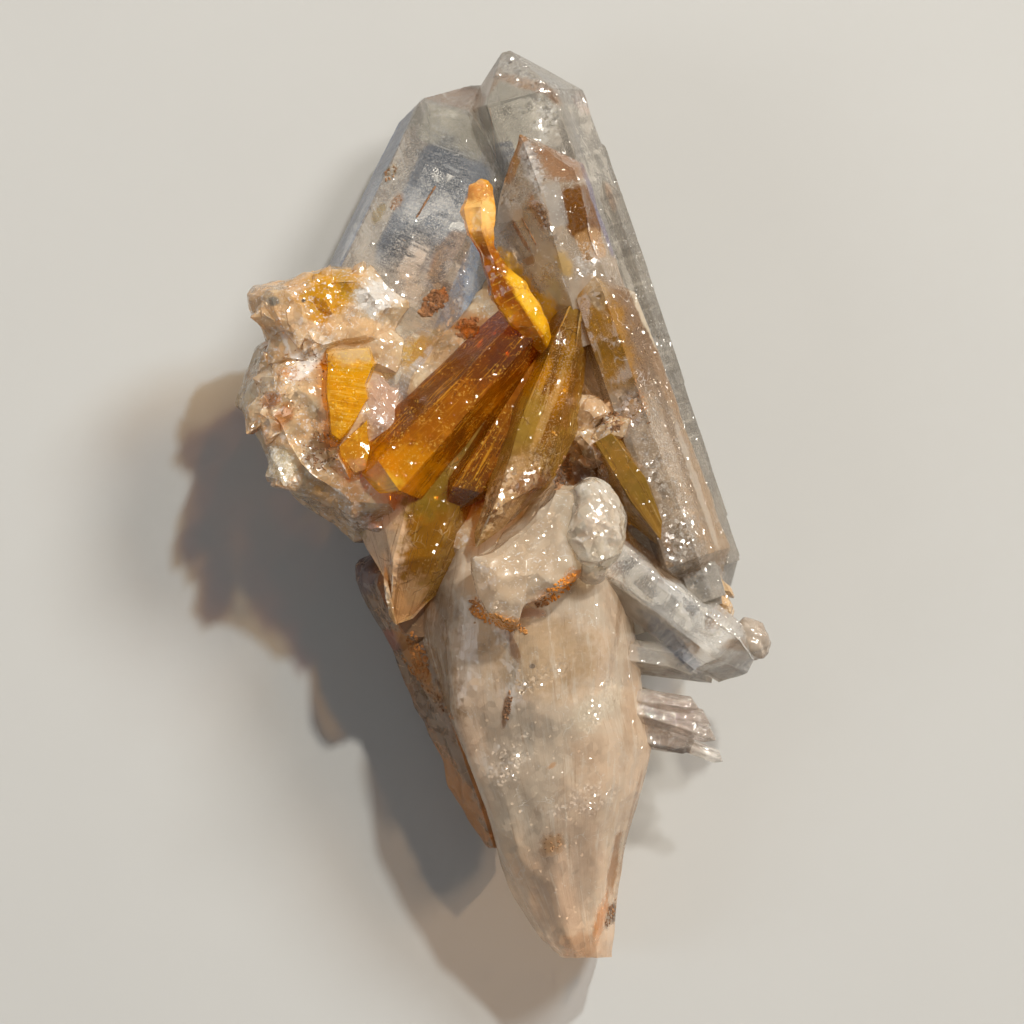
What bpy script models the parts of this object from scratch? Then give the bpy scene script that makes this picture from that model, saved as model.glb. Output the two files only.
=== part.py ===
"""Citrine and quartz specimen: clear points, amber crystals and a milky tail, grown together as one piece.

The specimen lies on its back. +Z is up, +Y runs from the broken tail to the clear tips, and +X is to
the right for a viewer who looks down on it with the tips at the top. The origin is on the floor, under
the middle of the plan. Every size and place below is in millimetres; MM turns it into metres.
"""

import math
import random

import bmesh
import bpy
from mathutils import Matrix, Vector, noise

MM = 0.001
NODE_NAME = "citrine_cluster"

# The specimen is 53 mm wide over its crystals and 91 mm long.
CLUSTER_WIDTH = 53.2
CLUSTER_LENGTH = 91.2
FLOOR_SLAB_DEEP = 30.0  # the cutter that leaves the back flat where the specimen lies

# Headings of the crystals in plan, in degrees from +X towards +Y. The citrine point and the brown point
# grew parallel to the great point.
GREAT_HEADING = 108.3
LEFT_HEADING = 63.7
AMBER_HEADING = 222.9
DARK_AMBER_HEADING = 237.3
OLIVE_BLADE_HEADING = 248.65
OLIVE_POINT_HEADING = 256.0
WEDGE_HEADING = 299.3
ROD_HEADING = 323.5

GLASSY = (0.80, 0.78, 0.73, 1.0)


def clear_scene():
    for old in list(bpy.data.objects):
        bpy.data.objects.remove(old, do_unlink=True)


def new_collection(name):
    collection = bpy.data.collections.new(name)
    bpy.context.scene.collection.children.link(collection)
    return collection


def quartz_material():
    material = bpy.data.materials.new("clear_quartz")
    material.use_nodes = True
    shader = material.node_tree.nodes["Principled BSDF"]
    shader.inputs["Base Color"].default_value = GLASSY
    shader.inputs["Roughness"].default_value = 0.08
    shader.inputs["Metallic"].default_value = 0.0
    shader.inputs["IOR"].default_value = 1.544
    shader.inputs["Transmission Weight"].default_value = 0.8
    return material


def object_from(bm, name, collection):
    """Turns a bmesh in millimetres into an object in metres."""
    bmesh.ops.scale(bm, vec=(MM, MM, MM), verts=bm.verts)
    bmesh.ops.recalc_face_normals(bm, faces=bm.faces)
    mesh = bpy.data.meshes.new(name)
    bm.to_mesh(mesh)
    bm.free()
    solid = bpy.data.objects.new(name, mesh)
    collection.objects.link(solid)
    return solid


def hull_of(points):
    """The flat-faced solid whose corners are the outermost of these points."""
    bm = bmesh.new()
    corners = [bm.verts.new(p) for p in points]
    made = bmesh.ops.convex_hull(bm, input=corners)
    spare = {v for key in ("geom_interior", "geom_unused") for v in made[key]}
    bmesh.ops.delete(bm, geom=[v for v in spare if isinstance(v, bmesh.types.BMVert)], context="VERTS")
    return bm


def loft(rings):
    """A closed skin through rings of corners that run the same way round."""
    bm = bmesh.new()
    rows = [[bm.verts.new(p) for p in ring] for ring in rings]
    for low, high in zip(rows, rows[1:]):
        for k in range(len(low)):
            j = (k + 1) % len(low)
            bm.faces.new((low[k], low[j], high[j], high[k]))
    bm.faces.new(rows[0])
    bm.faces.new(rows[-1])
    return bm


def refine(bm, longest):
    """Splits every edge over this length until none is left, as triangles."""
    bmesh.ops.triangulate(bm, faces=bm.faces)
    long_edges = [e for e in bm.edges if e.calc_length() > longest]
    while long_edges:
        bmesh.ops.subdivide_edges(bm, edges=long_edges, cuts=1)
        bmesh.ops.triangulate(bm, faces=bm.faces)
        long_edges = [e for e in bm.edges if e.calc_length() > longest]


def roughen(bm, depth, grain, seed):
    """Moves each corner along its normal by smooth noise: depth is the swing and grain the lump's width."""
    offset = Vector((seed * 17.3, seed * 5.9, seed * 11.1))
    bm.normal_update()
    moves = [v.normal * depth * noise.fractal(v.co / grain + offset, 0.9, 2.1, 3) for v in bm.verts]
    for v, move in zip(bm.verts, moves):
        v.co += move


def on_axis(heading, along, across, height):
    """The point this far along a heading and this far to its right, both measured from the origin."""
    angle = math.radians(heading)
    ahead = Vector((math.cos(angle), math.sin(angle), 0.0))
    right = Vector((math.sin(angle), -math.cos(angle), 0.0))
    return ahead * along + right * across + Vector((0.0, 0.0, height))


def crystal(name, group, heading, foot, section, shoulders, crown):
    """A quartz point: a six-sided prism from its foot to its shoulders, closed by the faces of its crown.

    foot is where it starts along its heading. section gives the six lengthwise edges there as (across,
    height). shoulders gives where each edge ends, as (along, across, height), and crown the points or
    edges that the tip faces meet in.
    """
    points = [on_axis(heading, foot, across, height) for across, height in section]
    points += [on_axis(heading, *place) for place in shoulders]
    points += [on_axis(heading, *place) for place in crown]
    return [object_from(hull_of(points), name, group)]


def shard(name, group, centre, half, seed, corners=16):
    """A splinter with flat broken faces: the hull of corners scattered over a stretched ball."""
    chance = random.Random(seed)
    points = []
    for _ in range(corners):
        height = chance.uniform(-1.0, 1.0)
        angle = chance.uniform(0.0, math.tau)
        reach = math.sqrt(1.0 - height * height)
        on_ball = Vector((reach * math.cos(angle), reach * math.sin(angle), height))
        points.append(Vector(centre) + Vector(a * b for a, b in zip(on_ball, half)))
    return [object_from(hull_of(points), name, group)]


def broken_block(name, group, outline, levels, longest, depth, grain, seed):
    """A rough lump with this plan outline. levels are (height, share): the outline shrunk towards its
    middle at each height."""
    middle = Vector((sum(x for x, y in outline) / len(outline), sum(y for x, y in outline) / len(outline)))
    points = []
    for height, share in levels:
        for corner in outline:
            plan = middle + (Vector(corner) - middle) * share
            points.append((plan.x, plan.y, height))
    bm = hull_of(points)
    refine(bm, longest)
    roughen(bm, depth, grain, seed)
    return [object_from(bm, name, group)]


def rounded_lump(name, group, centre, half, turn, depth, grain, seed):
    """A sugary rounded knob: a ball stretched to its half sizes, turned about Z and dented."""
    bm = bmesh.new()
    bmesh.ops.create_icosphere(bm, subdivisions=3, radius=1.0)
    bmesh.ops.scale(bm, vec=half, verts=bm.verts)
    roughen(bm, depth, grain, seed)
    bmesh.ops.rotate(bm, matrix=Matrix.Rotation(math.radians(turn), 3, "Z"), verts=bm.verts)
    bmesh.ops.translate(bm, vec=centre, verts=bm.verts)
    return [object_from(bm, name, group)]


def great_point(group):
    """The large clear point on the right, its thin parallel crystals and the sliver at its foot."""
    made = crystal(
        "great_point", group, GREAT_HEADING, foot=-16.5,
        section=((8.4, 8.0), (10.6, 15.0), (16.4, 16.4), (18.1, 9.5), (17.0, -1.0), (10.5, -1.0)),
        shoulders=((38.8, 9.0, 7.6), (38.4, 11.0, 15.4), (37.9, 17.9, 16.4), (37.0, 21.0, 9.0),
                   (-12.4, 21.0, 9.5), (-12.0, 17.9, 17.4), (-12.6, 19.2, -1.0), (-12.0, 10.6, 15.8),
                   (36.0, 19.0, 0.4), (36.5, 10.8, 0.4)),
        crown=((43.2, 14.2, 9.6), (43.2, 15.1, 9.2), (40.5, 13.0, 13.6)))
    for number, (foot, end, across, height, half) in enumerate(GREAT_LEDGES, 1):
        made += crystal(
            f"great_ledge_{number}", group, GREAT_HEADING, foot=foot,
            section=hexagon(across, height, half),
            shoulders=[(end, *corner) for corner in hexagon(across, height, half)],
            crown=((end + half * 2.0, across - half * 0.4, height),))
    made += crystal(
        "foot_sliver", group, 96.0, foot=-12.0,
        section=hexagon(19.4, 14.6, 1.6), shoulders=[(-2.8, *corner) for corner in hexagon(19.6, 15.2, 1.2)],
        crown=((0.4, 19.4, 15.4),))
    return made


# Thin crystals along the great point's right side: foot, end, place across, height and half width.
GREAT_LEDGES = (
    (-12.6, 10.0, 19.2, 12.4, 1.8),
    (-15.4, 3.0, 16.4, 15.6, 2.2),
    (-12.2, -4.5, 19.5, 10.2, 1.7),
    (6.0, 26.0, 19.9, 11.4, 1.5),
    (-8.0, 31.0, 19.3, 6.0, 2.1),
)


def hexagon(across, height, half):
    """The six lengthwise edges of a small regular prism, as (across, height)."""
    return [(across + half * math.cos(math.radians(60.0 * k + 15.0)),
             height + half * math.sin(math.radians(60.0 * k + 15.0))) for k in range(6)]


def left_point(group):
    """The broad clear point on the left, with its flat striped front face."""
    return crystal(
        "left_point", group, LEFT_HEADING, foot=-4.0,
        section=((-26.3, 9.0), (-25.2, 15.5), (-13.7, 19.0), (-8.3, 13.0), (-9.5, 4.6), (-21.0, 1.4)),
        shoulders=((29.9, -26.4, 6.6), (31.6, -25.4, 9.6), (29.6, -14.5, 13.4), (28.0, -10.5, 9.0),
                   (28.0, -11.5, 3.4), (29.0, -21.0, 2.0), (29.4, -22.6, 12.0)),
        crown=((33.1, -25.4, 7.0), (33.6, -24.0, 9.6), (34.4, -20.6, 10.0), (36.9, -20.7, 7.4),
               (37.7, -19.4, 7.2)))


def citrine_crystals(group):
    """The coloured crystals that fan out of the groove between the two clear points."""
    made = crystal(
        "citrine_point", group, GREAT_HEADING, foot=12.5,
        section=((8.0, 15.5), (11.6, 19.6), (16.6, 19.2), (18.6, 16.0), (17.0, 12.0), (9.5, 12.0)),
        shoulders=((25.5, 7.3, 17.0), (31.0, 12.6, 22.0), (29.6, 17.4, 21.4), (29.8, 18.5, 18.0),
                   (28.0, 17.0, 13.0), (27.0, 10.0, 13.0)),
        crown=((34.7, 13.4, 19.0), (32.4, 11.5, 18.6), (30.6, 10.1, 17.8)))
    made += [object_from(loft(finger_rings()), "gold_finger", group)]
    made += crystal(
        "amber_prism", group, AMBER_HEADING, foot=-15.0,
        section=((14.6, 17.0), (12.8, 21.0), (10.2, 21.6), (8.6, 18.0), (9.4, 14.0), (13.2, 14.0)),
        shoulders=((5.2, 14.5, 18.0), (6.0, 11.6, 22.6), (6.4, 8.0, 23.6), (5.4, 5.9, 19.0),
                   (3.0, 7.5, 13.0), (2.0, 13.0, 13.0)),
        crown=((7.9, 13.4, 18.4), (8.3, 9.2, 19.0)))
    made += crystal(
        "dark_amber_prism", group, DARK_AMBER_HEADING, foot=-14.0,
        section=((6.4, 16.0), (5.2, 19.4), (3.4, 19.6), (2.4, 16.0), (3.0, 13.0), (6.0, 13.0)),
        shoulders=((0.4, 7.2, 16.0), (1.0, 5.2, 20.4), (0.0, 2.4, 20.6), (-1.5, 0.6, 16.0),
                   (-2.0, 2.0, 12.0), (-1.0, 6.0, 12.0)),
        crown=((3.8, 4.6, 17.4), (3.0, 3.4, 17.4)))
    made += crystal(
        "brown_point", group, GREAT_HEADING, foot=-11.0,
        section=((12.8, 15.0), (13.6, 19.4), (16.9, 20.6), (20.5, 15.2), (19.0, 11.0), (14.0, 11.0)),
        shoulders=((15.0, 12.6, 16.4), (17.2, 13.4, 20.8), (17.6, 16.2, 22.2), (16.0, 19.4, 17.4),
                   (14.0, 18.6, 12.0), (13.0, 14.0, 12.0)),
        crown=((19.2, 14.6, 19.6), (19.3, 15.9, 19.6)))
    made += crystal(
        "olive_blade", group, OLIVE_BLADE_HEADING, foot=-21.0,
        section=((2.2, 18.0), (1.2, 20.6), (-0.6, 20.8), (-1.4, 18.0), (-0.6, 15.0), (1.6, 15.0)),
        shoulders=((-9.0, 3.0, 19.0), (-9.5, 1.4, 22.4), (-9.0, -2.6, 22.8), (-9.2, -4.6, 19.6),
                   (-6.0, -3.0, 15.0), (-6.0, 2.0, 15.0), (3.6, 1.8, 20.2), (1.0, 0.8, 23.2),
                   (-2.8, -2.4, 23.4), (-3.2, -3.9, 20.4)),
        crown=((5.0, 0.95, 20.6), (1.9, -1.1, 20.8)))
    made += crystal(
        "olive_point", group, OLIVE_POINT_HEADING, foot=-8.0,
        section=((13.5, 12.0), (11.6, 17.6), (9.2, 19.6), (2.4, 17.6), (1.6, 12.0), (8.0, 9.0)),
        shoulders=((5.9, 13.7, 13.4), (4.0, 11.5, 17.6), (8.0, 9.2, 19.6), (6.4, 5.0, 18.8),
                   (5.6, 2.0, 15.4), (5.0, 3.0, 11.0), (6.0, 10.0, 10.0)),
        crown=((10.4, 9.2, 17.6), (13.3, 8.3, 16.0), (14.2, 7.4, 15.6), (13.1, 5.7, 15.4), (9.5, 3.7, 15.2)))
    made += crystal(
        "tan_wedge", group, WEDGE_HEADING, foot=-1.0,
        section=((-9.6, 16.0), (-11.2, 20.6), (-13.0, 21.2), (-14.4, 17.0), (-13.0, 13.0), (-10.6, 13.0)),
        shoulders=((6.6, -9.7, 17.4), (6.0, -11.4, 21.4), (4.4, -13.8, 21.4), (6.0, -14.2, 18.0),
                   (6.0, -13.0, 14.0), (6.0, -11.0, 14.0)),
        crown=((13.2, -12.6, 18.8),))
    made += crystal(
        "gold_blade", group, 87.0, foot=4.6,
        section=((-17.2, 15.0), (-16.4, 20.4), (-13.6, 20.8), (-12.6, 16.0), (-13.4, 12.0), (-16.2, 12.0)),
        shoulders=((13.0, -17.8, 16.0), (14.4, -16.6, 20.6), (13.6, -13.2, 20.6), (12.6, -12.2, 16.4),
                   (12.0, -13.6, 13.0), (12.0, -16.4, 13.0)),
        crown=((16.9, -16.6, 18.0), (16.4, -12.9, 18.0)))
    return made


# The curved gold crystal: places along its middle, and its half width there.
FINGER_PATH = (
    (4.4, 15.8, 19.4, 0.9), (1.8, 18.9, 20.4, 1.4), (-0.4, 21.7, 21.0, 1.5), (-1.3, 24.2, 21.2, 1.3),
    (-2.1, 26.4, 21.4, 1.2), (-2.6, 28.2, 21.6, 1.5), (-2.2, 30.2, 21.0, 1.8), (-1.9, 31.5, 20.2, 1.1),
)
FINGER_DEPTH = 1.25  # it is this much as deep as it is wide
FINGER_ROLL = 20.0


def finger_rings():
    """Six-sided sections square to the path."""
    middles = [Vector(place[:3]) for place in FINGER_PATH]
    rings = []
    for i, (x, y, z, half) in enumerate(FINGER_PATH):
        ahead = (middles[min(i + 1, len(middles) - 1)] - middles[max(i - 1, 0)]).normalized()
        right = ahead.cross(Vector((0.0, 0.0, 1.0))).normalized()
        up = right.cross(ahead)
        angles = [math.radians(60.0 * k + FINGER_ROLL) for k in range(6)]
        rings.append([middles[i] + right * half * math.cos(a) + up * half * FINGER_DEPTH * math.sin(a)
                      for a in angles])
    return rings


def right_crystals(group):
    """Small clear crystals that point out to the right below the great point."""
    made = crystal(
        "clear_rod", group, ROD_HEADING, foot=9.0,
        section=((-5.6, 16.0), (-3.7, 19.6), (-0.8, 19.2), (1.2, 15.0), (0.4, 11.0), (-4.2, 11.4)),
        shoulders=((27.0, -5.0, 15.4), (27.0, -3.5, 18.6), (26.2, -0.3, 18.0), (25.2, 1.9, 14.4),
                   (25.0, 0.8, 11.0), (26.0, -3.8, 11.4)),
        crown=((28.3, -4.3, 15.0), (29.6, -2.6, 15.0), (29.8, -1.1, 14.6), (29.1, 0.2, 14.0), (27.8, 1.5, 13.2)))
    made += crystal(
        "silver_chip", group, 352.0, foot=11.0,
        section=((11.2, 12.0), (11.9, 14.6), (13.4, 14.8), (14.9, 11.4), (13.8, 8.6), (12.0, 8.8)),
        shoulders=((20.0, 11.4, 12.2), (19.4, 12.2, 14.4), (18.8, 13.6, 14.4), (18.0, 14.8, 11.2),
                   (18.0, 13.8, 9.2), (18.0, 12.4, 9.2)),
        crown=((23.3, 13.6, 12.0), (23.3, 14.7, 11.4)))
    made += rounded_lump("smoky_knob", group, centre=(25.0, -13.3, 13.6), half=(1.7, 2.3, 2.6), turn=30.0,
                         depth=0.15, grain=1.2, seed=3)
    made += [object_from(hull_of(FAN_CORNERS), "fan_root", group)]
    for number, (heading, reach, across, height, half) in enumerate(FAN_BLADES, 1):
        made += crystal(
            f"fan_blade_{number}", group, heading, foot=FAN_FOOT, section=hexagon(across, height, half),
            shoulders=[(reach, *corner) for corner in hexagon(across, height, half * 0.9)],
            crown=((reach + half, across + half * 0.3, height - half * 0.5),))
    return made


# The fan low on the right side: the root that joins it to the tail, and its blades from the upper to the
# lower one, as (heading, reach, place across, height, half width).
FAN_CORNERS = (
    (11.0, -17.6, 9.0), (11.0, -24.0, 9.0), (15.3, -18.4, 9.5), (17.0, -19.4, 10.5), (15.3, -24.5, 9.5),
    (18.8, -24.7, 10.4), (20.0, -21.6, 10.6), (12.0, -18.4, 13.6), (12.0, -23.4, 13.2), (17.6, -20.6, 13.0),
    (17.6, -23.8, 12.4),
)
FAN_FOOT = 12.0
FAN_BLADES = (
    (-8.0, 21.4, 17.1, 13.0, 1.1),
    (-14.0, 24.4, 15.9, 12.4, 1.3),
    (-18.0, 26.4, 15.3, 13.0, 1.2),
    (-21.0, 29.0, 15.7, 11.6, 0.9),
    (-12.0, 22.8, 19.8, 11.8, 0.9),
)


# Plan outlines of the rough pieces, corner by corner.
ARM_OUTLINE = ((-25.1, 21.1), (-24.7, 19.3), (-23.4, 16.6), (-18.0, 14.6), (-11.6, 16.2), (-9.6, 20.0),
               (-13.1, 23.7), (-17.0, 23.7), (-20.9, 22.5), (-24.7, 21.9))
CHUNK_OUTLINE = ((-24.4, 15.7), (-24.9, 14.3), (-26.8, 10.2), (-25.5, 8.8), (-23.9, 5.4), (-22.2, 2.5),
                 (-19.6, 0.2), (-16.6, -2.0), (-14.6, -3.4), (-9.0, -3.0), (-6.0, 6.0), (-12.6, 15.0),
                 (-19.0, 17.2), (-22.8, 16.6))
CAP_OUTLINE = ((-3.4, -5.0), (-1.8, -4.2), (0.1, -2.1), (1.6, -1.0), (3.2, 0.7), (5.5, 2.1), (7.4, 1.4),
               (7.4, -6.0), (5.8, -8.3), (3.9, -9.8), (2.4, -10.4), (1.6, -12.3), (0.1, -12.1),
               (-1.8, -10.8), (-3.1, -9.2), (-3.7, -6.6))
HEART_OUTLINE = ((-13.0, 2.0), (-6.0, -7.0), (10.0, -7.0), (14.0, 4.0), (8.0, 19.0), (1.0, 24.0), (-11.0, 14.0))

# The milky tail's sections: y, then (x, height) of its edges, from back-left over the front to back-right.
TAIL_SECTIONS = (
    (4.0, ((-6.0, 2.0), (-8.0, 9.0), (-3.0, 17.0), (3.0, 19.5), (8.5, 18.5), (11.0, 10.0), (9.0, 1.0))),
    (-8.0, ((-5.0, -1.0), (-9.3, 9.0), (-4.6, 19.8), (2.0, 22.6), (8.6, 21.8), (13.0, 13.0), (10.0, -1.0))),
    (-14.0, ((-4.0, -1.0), (-9.2, 10.0), (-5.3, 19.4), (2.0, 22.4), (9.4, 20.8), (13.9, 12.6), (11.0, -1.0))),
    (-20.0, ((-2.0, -1.0), (-6.0, 9.5), (-5.2, 18.2), (3.0, 21.8), (9.2, 19.8), (14.6, 12.0), (11.5, -1.0))),
    (-24.0, ((-1.0, -1.0), (-4.4, 9.2), (-4.0, 17.6), (3.5, 19.8), (10.6, 18.8), (15.2, 11.4), (11.5, -1.0))),
    (-28.0, ((0.0, -1.0), (-2.8, 9.0), (-2.4, 16.8), (4.0, 18.9), (10.0, 17.9), (14.4, 10.8), (11.0, -1.0))),
    (-34.0, ((1.5, -1.0), (-1.0, 8.6), (-0.5, 14.6), (4.5, 17.0), (9.6, 15.6), (13.2, 9.8), (10.5, -1.0))),
    (-40.0, ((3.0, -0.5), (1.2, 7.6), (2.3, 12.2), (6.0, 14.2), (9.4, 13.0), (12.2, 8.4), (10.0, -0.5))),
    (-43.4, ((4.6, 1.0), (3.7, 7.0), (4.4, 10.8), (6.8, 12.4), (9.6, 11.6), (11.6, 7.4), (10.0, 1.0))),
    (-45.4, ((6.2, 2.6), (5.2, 6.6), (5.8, 9.6), (7.4, 10.6), (9.6, 10.2), (11.1, 7.0), (10.0, 2.6))),
)


def milky_tail(group):
    """The big milky crystal that tapers to the broken tail, with the smoky slab behind its left edge."""
    bm = loft([[(x, y, z) for x, z in edges] for y, edges in TAIL_SECTIONS])
    refine(bm, 2.8)
    roughen(bm, 0.5, 3.4, seed=5)
    made = [object_from(bm, "milky_tail", group)]
    made += [object_from(hull_of(SLAB_CORNERS), "smoky_slab", group)]
    made += [object_from(hull_of(BAND_CORNERS), "smoky_band", group)]
    return made


# The smoky slab behind the olive point, and the long smoky band that runs down to the tail's left edge.
SLAB_CORNERS = (
    (-14.6, -7.5, 6.0), (-14.4, -5.9, 9.5), (-13.2, -5.2, 11.0), (-10.5, -2.0, 12.0), (-6.0, -4.0, 13.0),
    (-13.5, -10.0, 7.0), (-10.9, -14.8, 9.5), (-7.0, -15.5, 14.0), (-9.0, -10.0, 14.0), (-11.5, -8.0, 1.0),
    (-6.0, -2.0, 1.0), (-8.0, -15.0, 1.0), (-3.0, -14.0, 2.0),
)
BAND_CORNERS = (
    (-12.0, -11.5, 6.0), (-10.8, -14.9, 8.0), (-9.5, -18.1, 7.5), (-7.0, -23.6, 7.0), (-4.9, -29.3, 6.5),
    (-3.2, -32.2, 6.0), (-1.3, -34.4, 6.0), (-7.2, -15.0, 13.5), (-5.4, -21.0, 13.0), (-3.0, -27.0, 12.0),
    (-1.0, -33.6, 9.0), (-7.0, -13.0, 1.0), (-3.0, -25.0, 1.0), (0.0, -34.0, 3.0), (1.0, -20.0, 4.0),
)


def rough_pieces(group):
    """The broken quartz between the crystals: the left chunk and arm, the cap, the knobs and the heart."""
    made = broken_block("heart", group, HEART_OUTLINE, ((2.5, 0.7), (7.0, 1.0), (13.0, 1.0), (17.8, 0.8)),
                        longest=5.0, depth=0.6, grain=4.0, seed=8)
    made += broken_block("left_arm", group, ARM_OUTLINE, ((9.5, 0.6), (13.0, 1.0), (17.0, 1.0), (20.4, 0.72)),
                         longest=2.4, depth=0.9, grain=2.6, seed=1)
    made += broken_block("left_chunk", group, CHUNK_OUTLINE,
                         ((-1.0, 0.55), (4.0, 0.86), (10.0, 1.0), (16.5, 0.9), (19.6, 0.66)),
                         longest=2.8, depth=1.0, grain=3.2, seed=2)
    for number, (centre, half) in enumerate(SPLINTERS, 1):
        made += shard(f"splinter_{number}", group, centre, half, seed=20 + number)
    made += broken_block("milky_cap", group, CAP_OUTLINE, ((18.0, 0.96), (23.6, 1.0), (25.8, 0.9), (26.9, 0.62)),
                         longest=2.4, depth=0.45, grain=2.6, seed=6)
    made += rounded_lump("clear_knob", group, centre=(9.0, -1.8, 23.6), half=(3.0, 4.6, 4.4), turn=8.0,
                         depth=0.5, grain=1.6, seed=7)
    made += rounded_lump("knob_foot", group, centre=(8.8, -6.2, 22.6), half=(1.6, 1.6, 2.6), turn=0.0,
                         depth=0.25, grain=1.2, seed=9)
    return made


# Flat-faced splinters: middle and half sizes. The first ones crown the left arm and chunk, the next fill
# the groove beside the brown point, and the last stand at the foot of the great point.
SPLINTERS = (
    ((-22.4, 20.0, 16.5), (2.8, 2.2, 4.4)),
    ((-18.6, 20.4, 17.4), (3.6, 2.6, 4.0)),
    ((-21.8, 10.6, 16.4), (4.4, 4.8, 5.2)),
    ((-19.4, 4.6, 15.6), (4.2, 4.4, 4.8)),
    ((-18.8, 14.6, 17.4), (4.2, 3.2, 4.2)),
    ((-23.4, 11.0, 9.0), (3.2, 4.4, 5.0)),
    ((-15.4, 0.4, 14.8), (3.6, 3.6, 4.0)),
    ((-12.4, 20.4, 15.8), (3.4, 2.8, 3.8)),
    ((9.9, 11.4, 18.4), (1.9, 2.6, 3.6)),
    ((9.2, 8.2, 19.0), (2.1, 2.8, 3.2)),
    ((10.6, 5.0, 18.6), (2.6, 2.6, 3.4)),
    ((8.6, 3.4, 18.4), (2.4, 2.4, 3.6)),
    ((17.2, -6.6, 15.0), (3.4, 3.0, 3.6)),
    ((20.4, -8.0, 11.6), (2.6, 2.6, 4.0)),
    ((23.2, -11.4, 13.6), (1.8, 1.2, 2.0)),
)


def floor_slab(collection):
    """The space under the floor, which is cut from the specimen so that its back lies flat."""
    bm = bmesh.new()
    bmesh.ops.create_cube(bm, size=1.0)
    bmesh.ops.scale(bm, vec=(2 * CLUSTER_WIDTH, 2 * CLUSTER_LENGTH, FLOOR_SLAB_DEEP), verts=bm.verts)
    bmesh.ops.translate(bm, vec=(0.0, 0.0, -FLOOR_SLAB_DEEP / 2), verts=bm.verts)
    return object_from(bm, "floor_slab", collection)


def join_grown_together(body, others, slab, material):
    """Joins all the crystals in one solid, as they grew, and cuts its back flat at the floor."""
    union = body.modifiers.new("grown_together", "BOOLEAN")
    union.operation = "UNION"
    union.solver = "EXACT"
    union.operand_type = "COLLECTION"
    union.collection = others
    cut = body.modifiers.new("lies_flat", "BOOLEAN")
    cut.operation = "DIFFERENCE"
    cut.solver = "EXACT"
    cut.object = slab
    body.data.materials.append(material)


def hide_helpers(objects):
    for helper in objects:
        helper.hide_render = True
        helper.display_type = "WIRE"


def main():
    clear_scene()
    specimen = new_collection("citrine_specimen")
    grown = new_collection("grown_together")
    cutters = new_collection("cutters")
    crystals = great_point(grown) + left_point(grown) + citrine_crystals(grown) + right_crystals(grown)
    crystals += milky_tail(grown) + rough_pieces(grown)
    body = crystals[0]
    body.name = NODE_NAME
    grown.objects.unlink(body)
    specimen.objects.link(body)
    slab = floor_slab(cutters)
    join_grown_together(body, grown, slab, quartz_material())
    hide_helpers(crystals[1:] + [slab])


main()
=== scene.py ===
"""Blender scene of a citrine and quartz specimen that lies on its back on a pale floor.

Places are in millimetres in the frame of the CAD model: +Z up out of the front face, +Y from the broken
tail to the clear tips, +X to the right. Every piece is one closed surface that numpy works out on a grid.
"""

import math

import bmesh
import bpy
import numpy as np
from bpy.props import FloatProperty, FloatVectorProperty, PointerProperty
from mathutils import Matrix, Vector
from mathutils.bvhtree import BVHTree


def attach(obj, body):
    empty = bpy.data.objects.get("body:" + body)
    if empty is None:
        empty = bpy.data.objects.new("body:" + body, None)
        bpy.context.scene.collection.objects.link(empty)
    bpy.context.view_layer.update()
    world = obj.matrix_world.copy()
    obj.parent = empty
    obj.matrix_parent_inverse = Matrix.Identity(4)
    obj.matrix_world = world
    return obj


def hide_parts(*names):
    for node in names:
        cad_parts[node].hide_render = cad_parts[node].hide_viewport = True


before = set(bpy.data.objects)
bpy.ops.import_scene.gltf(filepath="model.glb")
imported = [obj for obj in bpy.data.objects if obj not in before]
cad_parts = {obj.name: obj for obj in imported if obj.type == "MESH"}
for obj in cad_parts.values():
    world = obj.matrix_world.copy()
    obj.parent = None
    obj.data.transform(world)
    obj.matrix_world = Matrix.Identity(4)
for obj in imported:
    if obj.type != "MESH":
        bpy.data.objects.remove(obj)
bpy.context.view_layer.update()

bl_info = {
    "name": "Citrine specimen",
    "version": (1, 0, 0),
    "blender": (4, 5, 0),
    "location": "3D View > Sidebar > Specimen",
    "description": "Makes a citrine and quartz specimen with its finishes, light and camera",
    "category": "Object",
}

MM = 0.001
NODE = "citrine_cluster"
BODY = "root"
QUARTZ_IOR = 1.544
SHINE = 0.05  # the roughness of a freshly broken flat
LAMP_WAY = (0.27, 0.32, 1.0)  # a flat that faces this way throws the lamps' light straight up
GLINT_SCATTER = 0.28  # how much of its own tilt such a flat keeps
EDGE_GRAIN = 900.0  # waves for each metre of the noise that frays the zones' edges
MOTTLE_GRAIN = 2600.0  # and of the noise that thins the zones
UV_NAME = "growth"
UV_UNIT = 10.0  # the UV map holds centimetres round and along a crystal

# The camera looks straight down on this point of the plan, from this height over the floor.
CAMERA_PLAN = (0.0010, -0.0006)
CAMERA_HEIGHT = 1.30
SENSOR_MM = 36.0
SEEN_WIDTH = 0.1024
SEEN_HEIGHT = 0.012  # the frame is SEEN_WIDTH wide at this height over the floor
RAY_START = 0.05  # crumbs are dropped onto the specimen from this height
CRUMB_HEIGHT = 0.8  # a crumb's height as a share of its width


def tone(digits):
    """A display colour, as six hexadecimal digits, in linear light."""
    parts = np.array(list(bytes.fromhex(digits))) / 255.0
    linear = np.where(parts <= 0.04045, parts / 12.92, ((parts + 0.055) / 1.055) ** 2.4)
    return tuple(float(part) for part in linear)


WHITE = "faf8f4"


def on_axis(heading, places):
    """Turns (along, across, height) places on a heading into (x, y, z): along times the heading's
    direction, plus across times the direction to its right, plus the height."""
    places = np.asarray(places, float)
    angle = math.radians(heading)
    ahead = np.array([math.cos(angle), math.sin(angle), 0.0])
    right = np.array([math.sin(angle), -math.cos(angle), 0.0])
    up = np.array([0.0, 0.0, 1.0])
    return places[..., :1] * ahead + places[..., 1:2] * right + places[..., 2:3] * up


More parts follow.
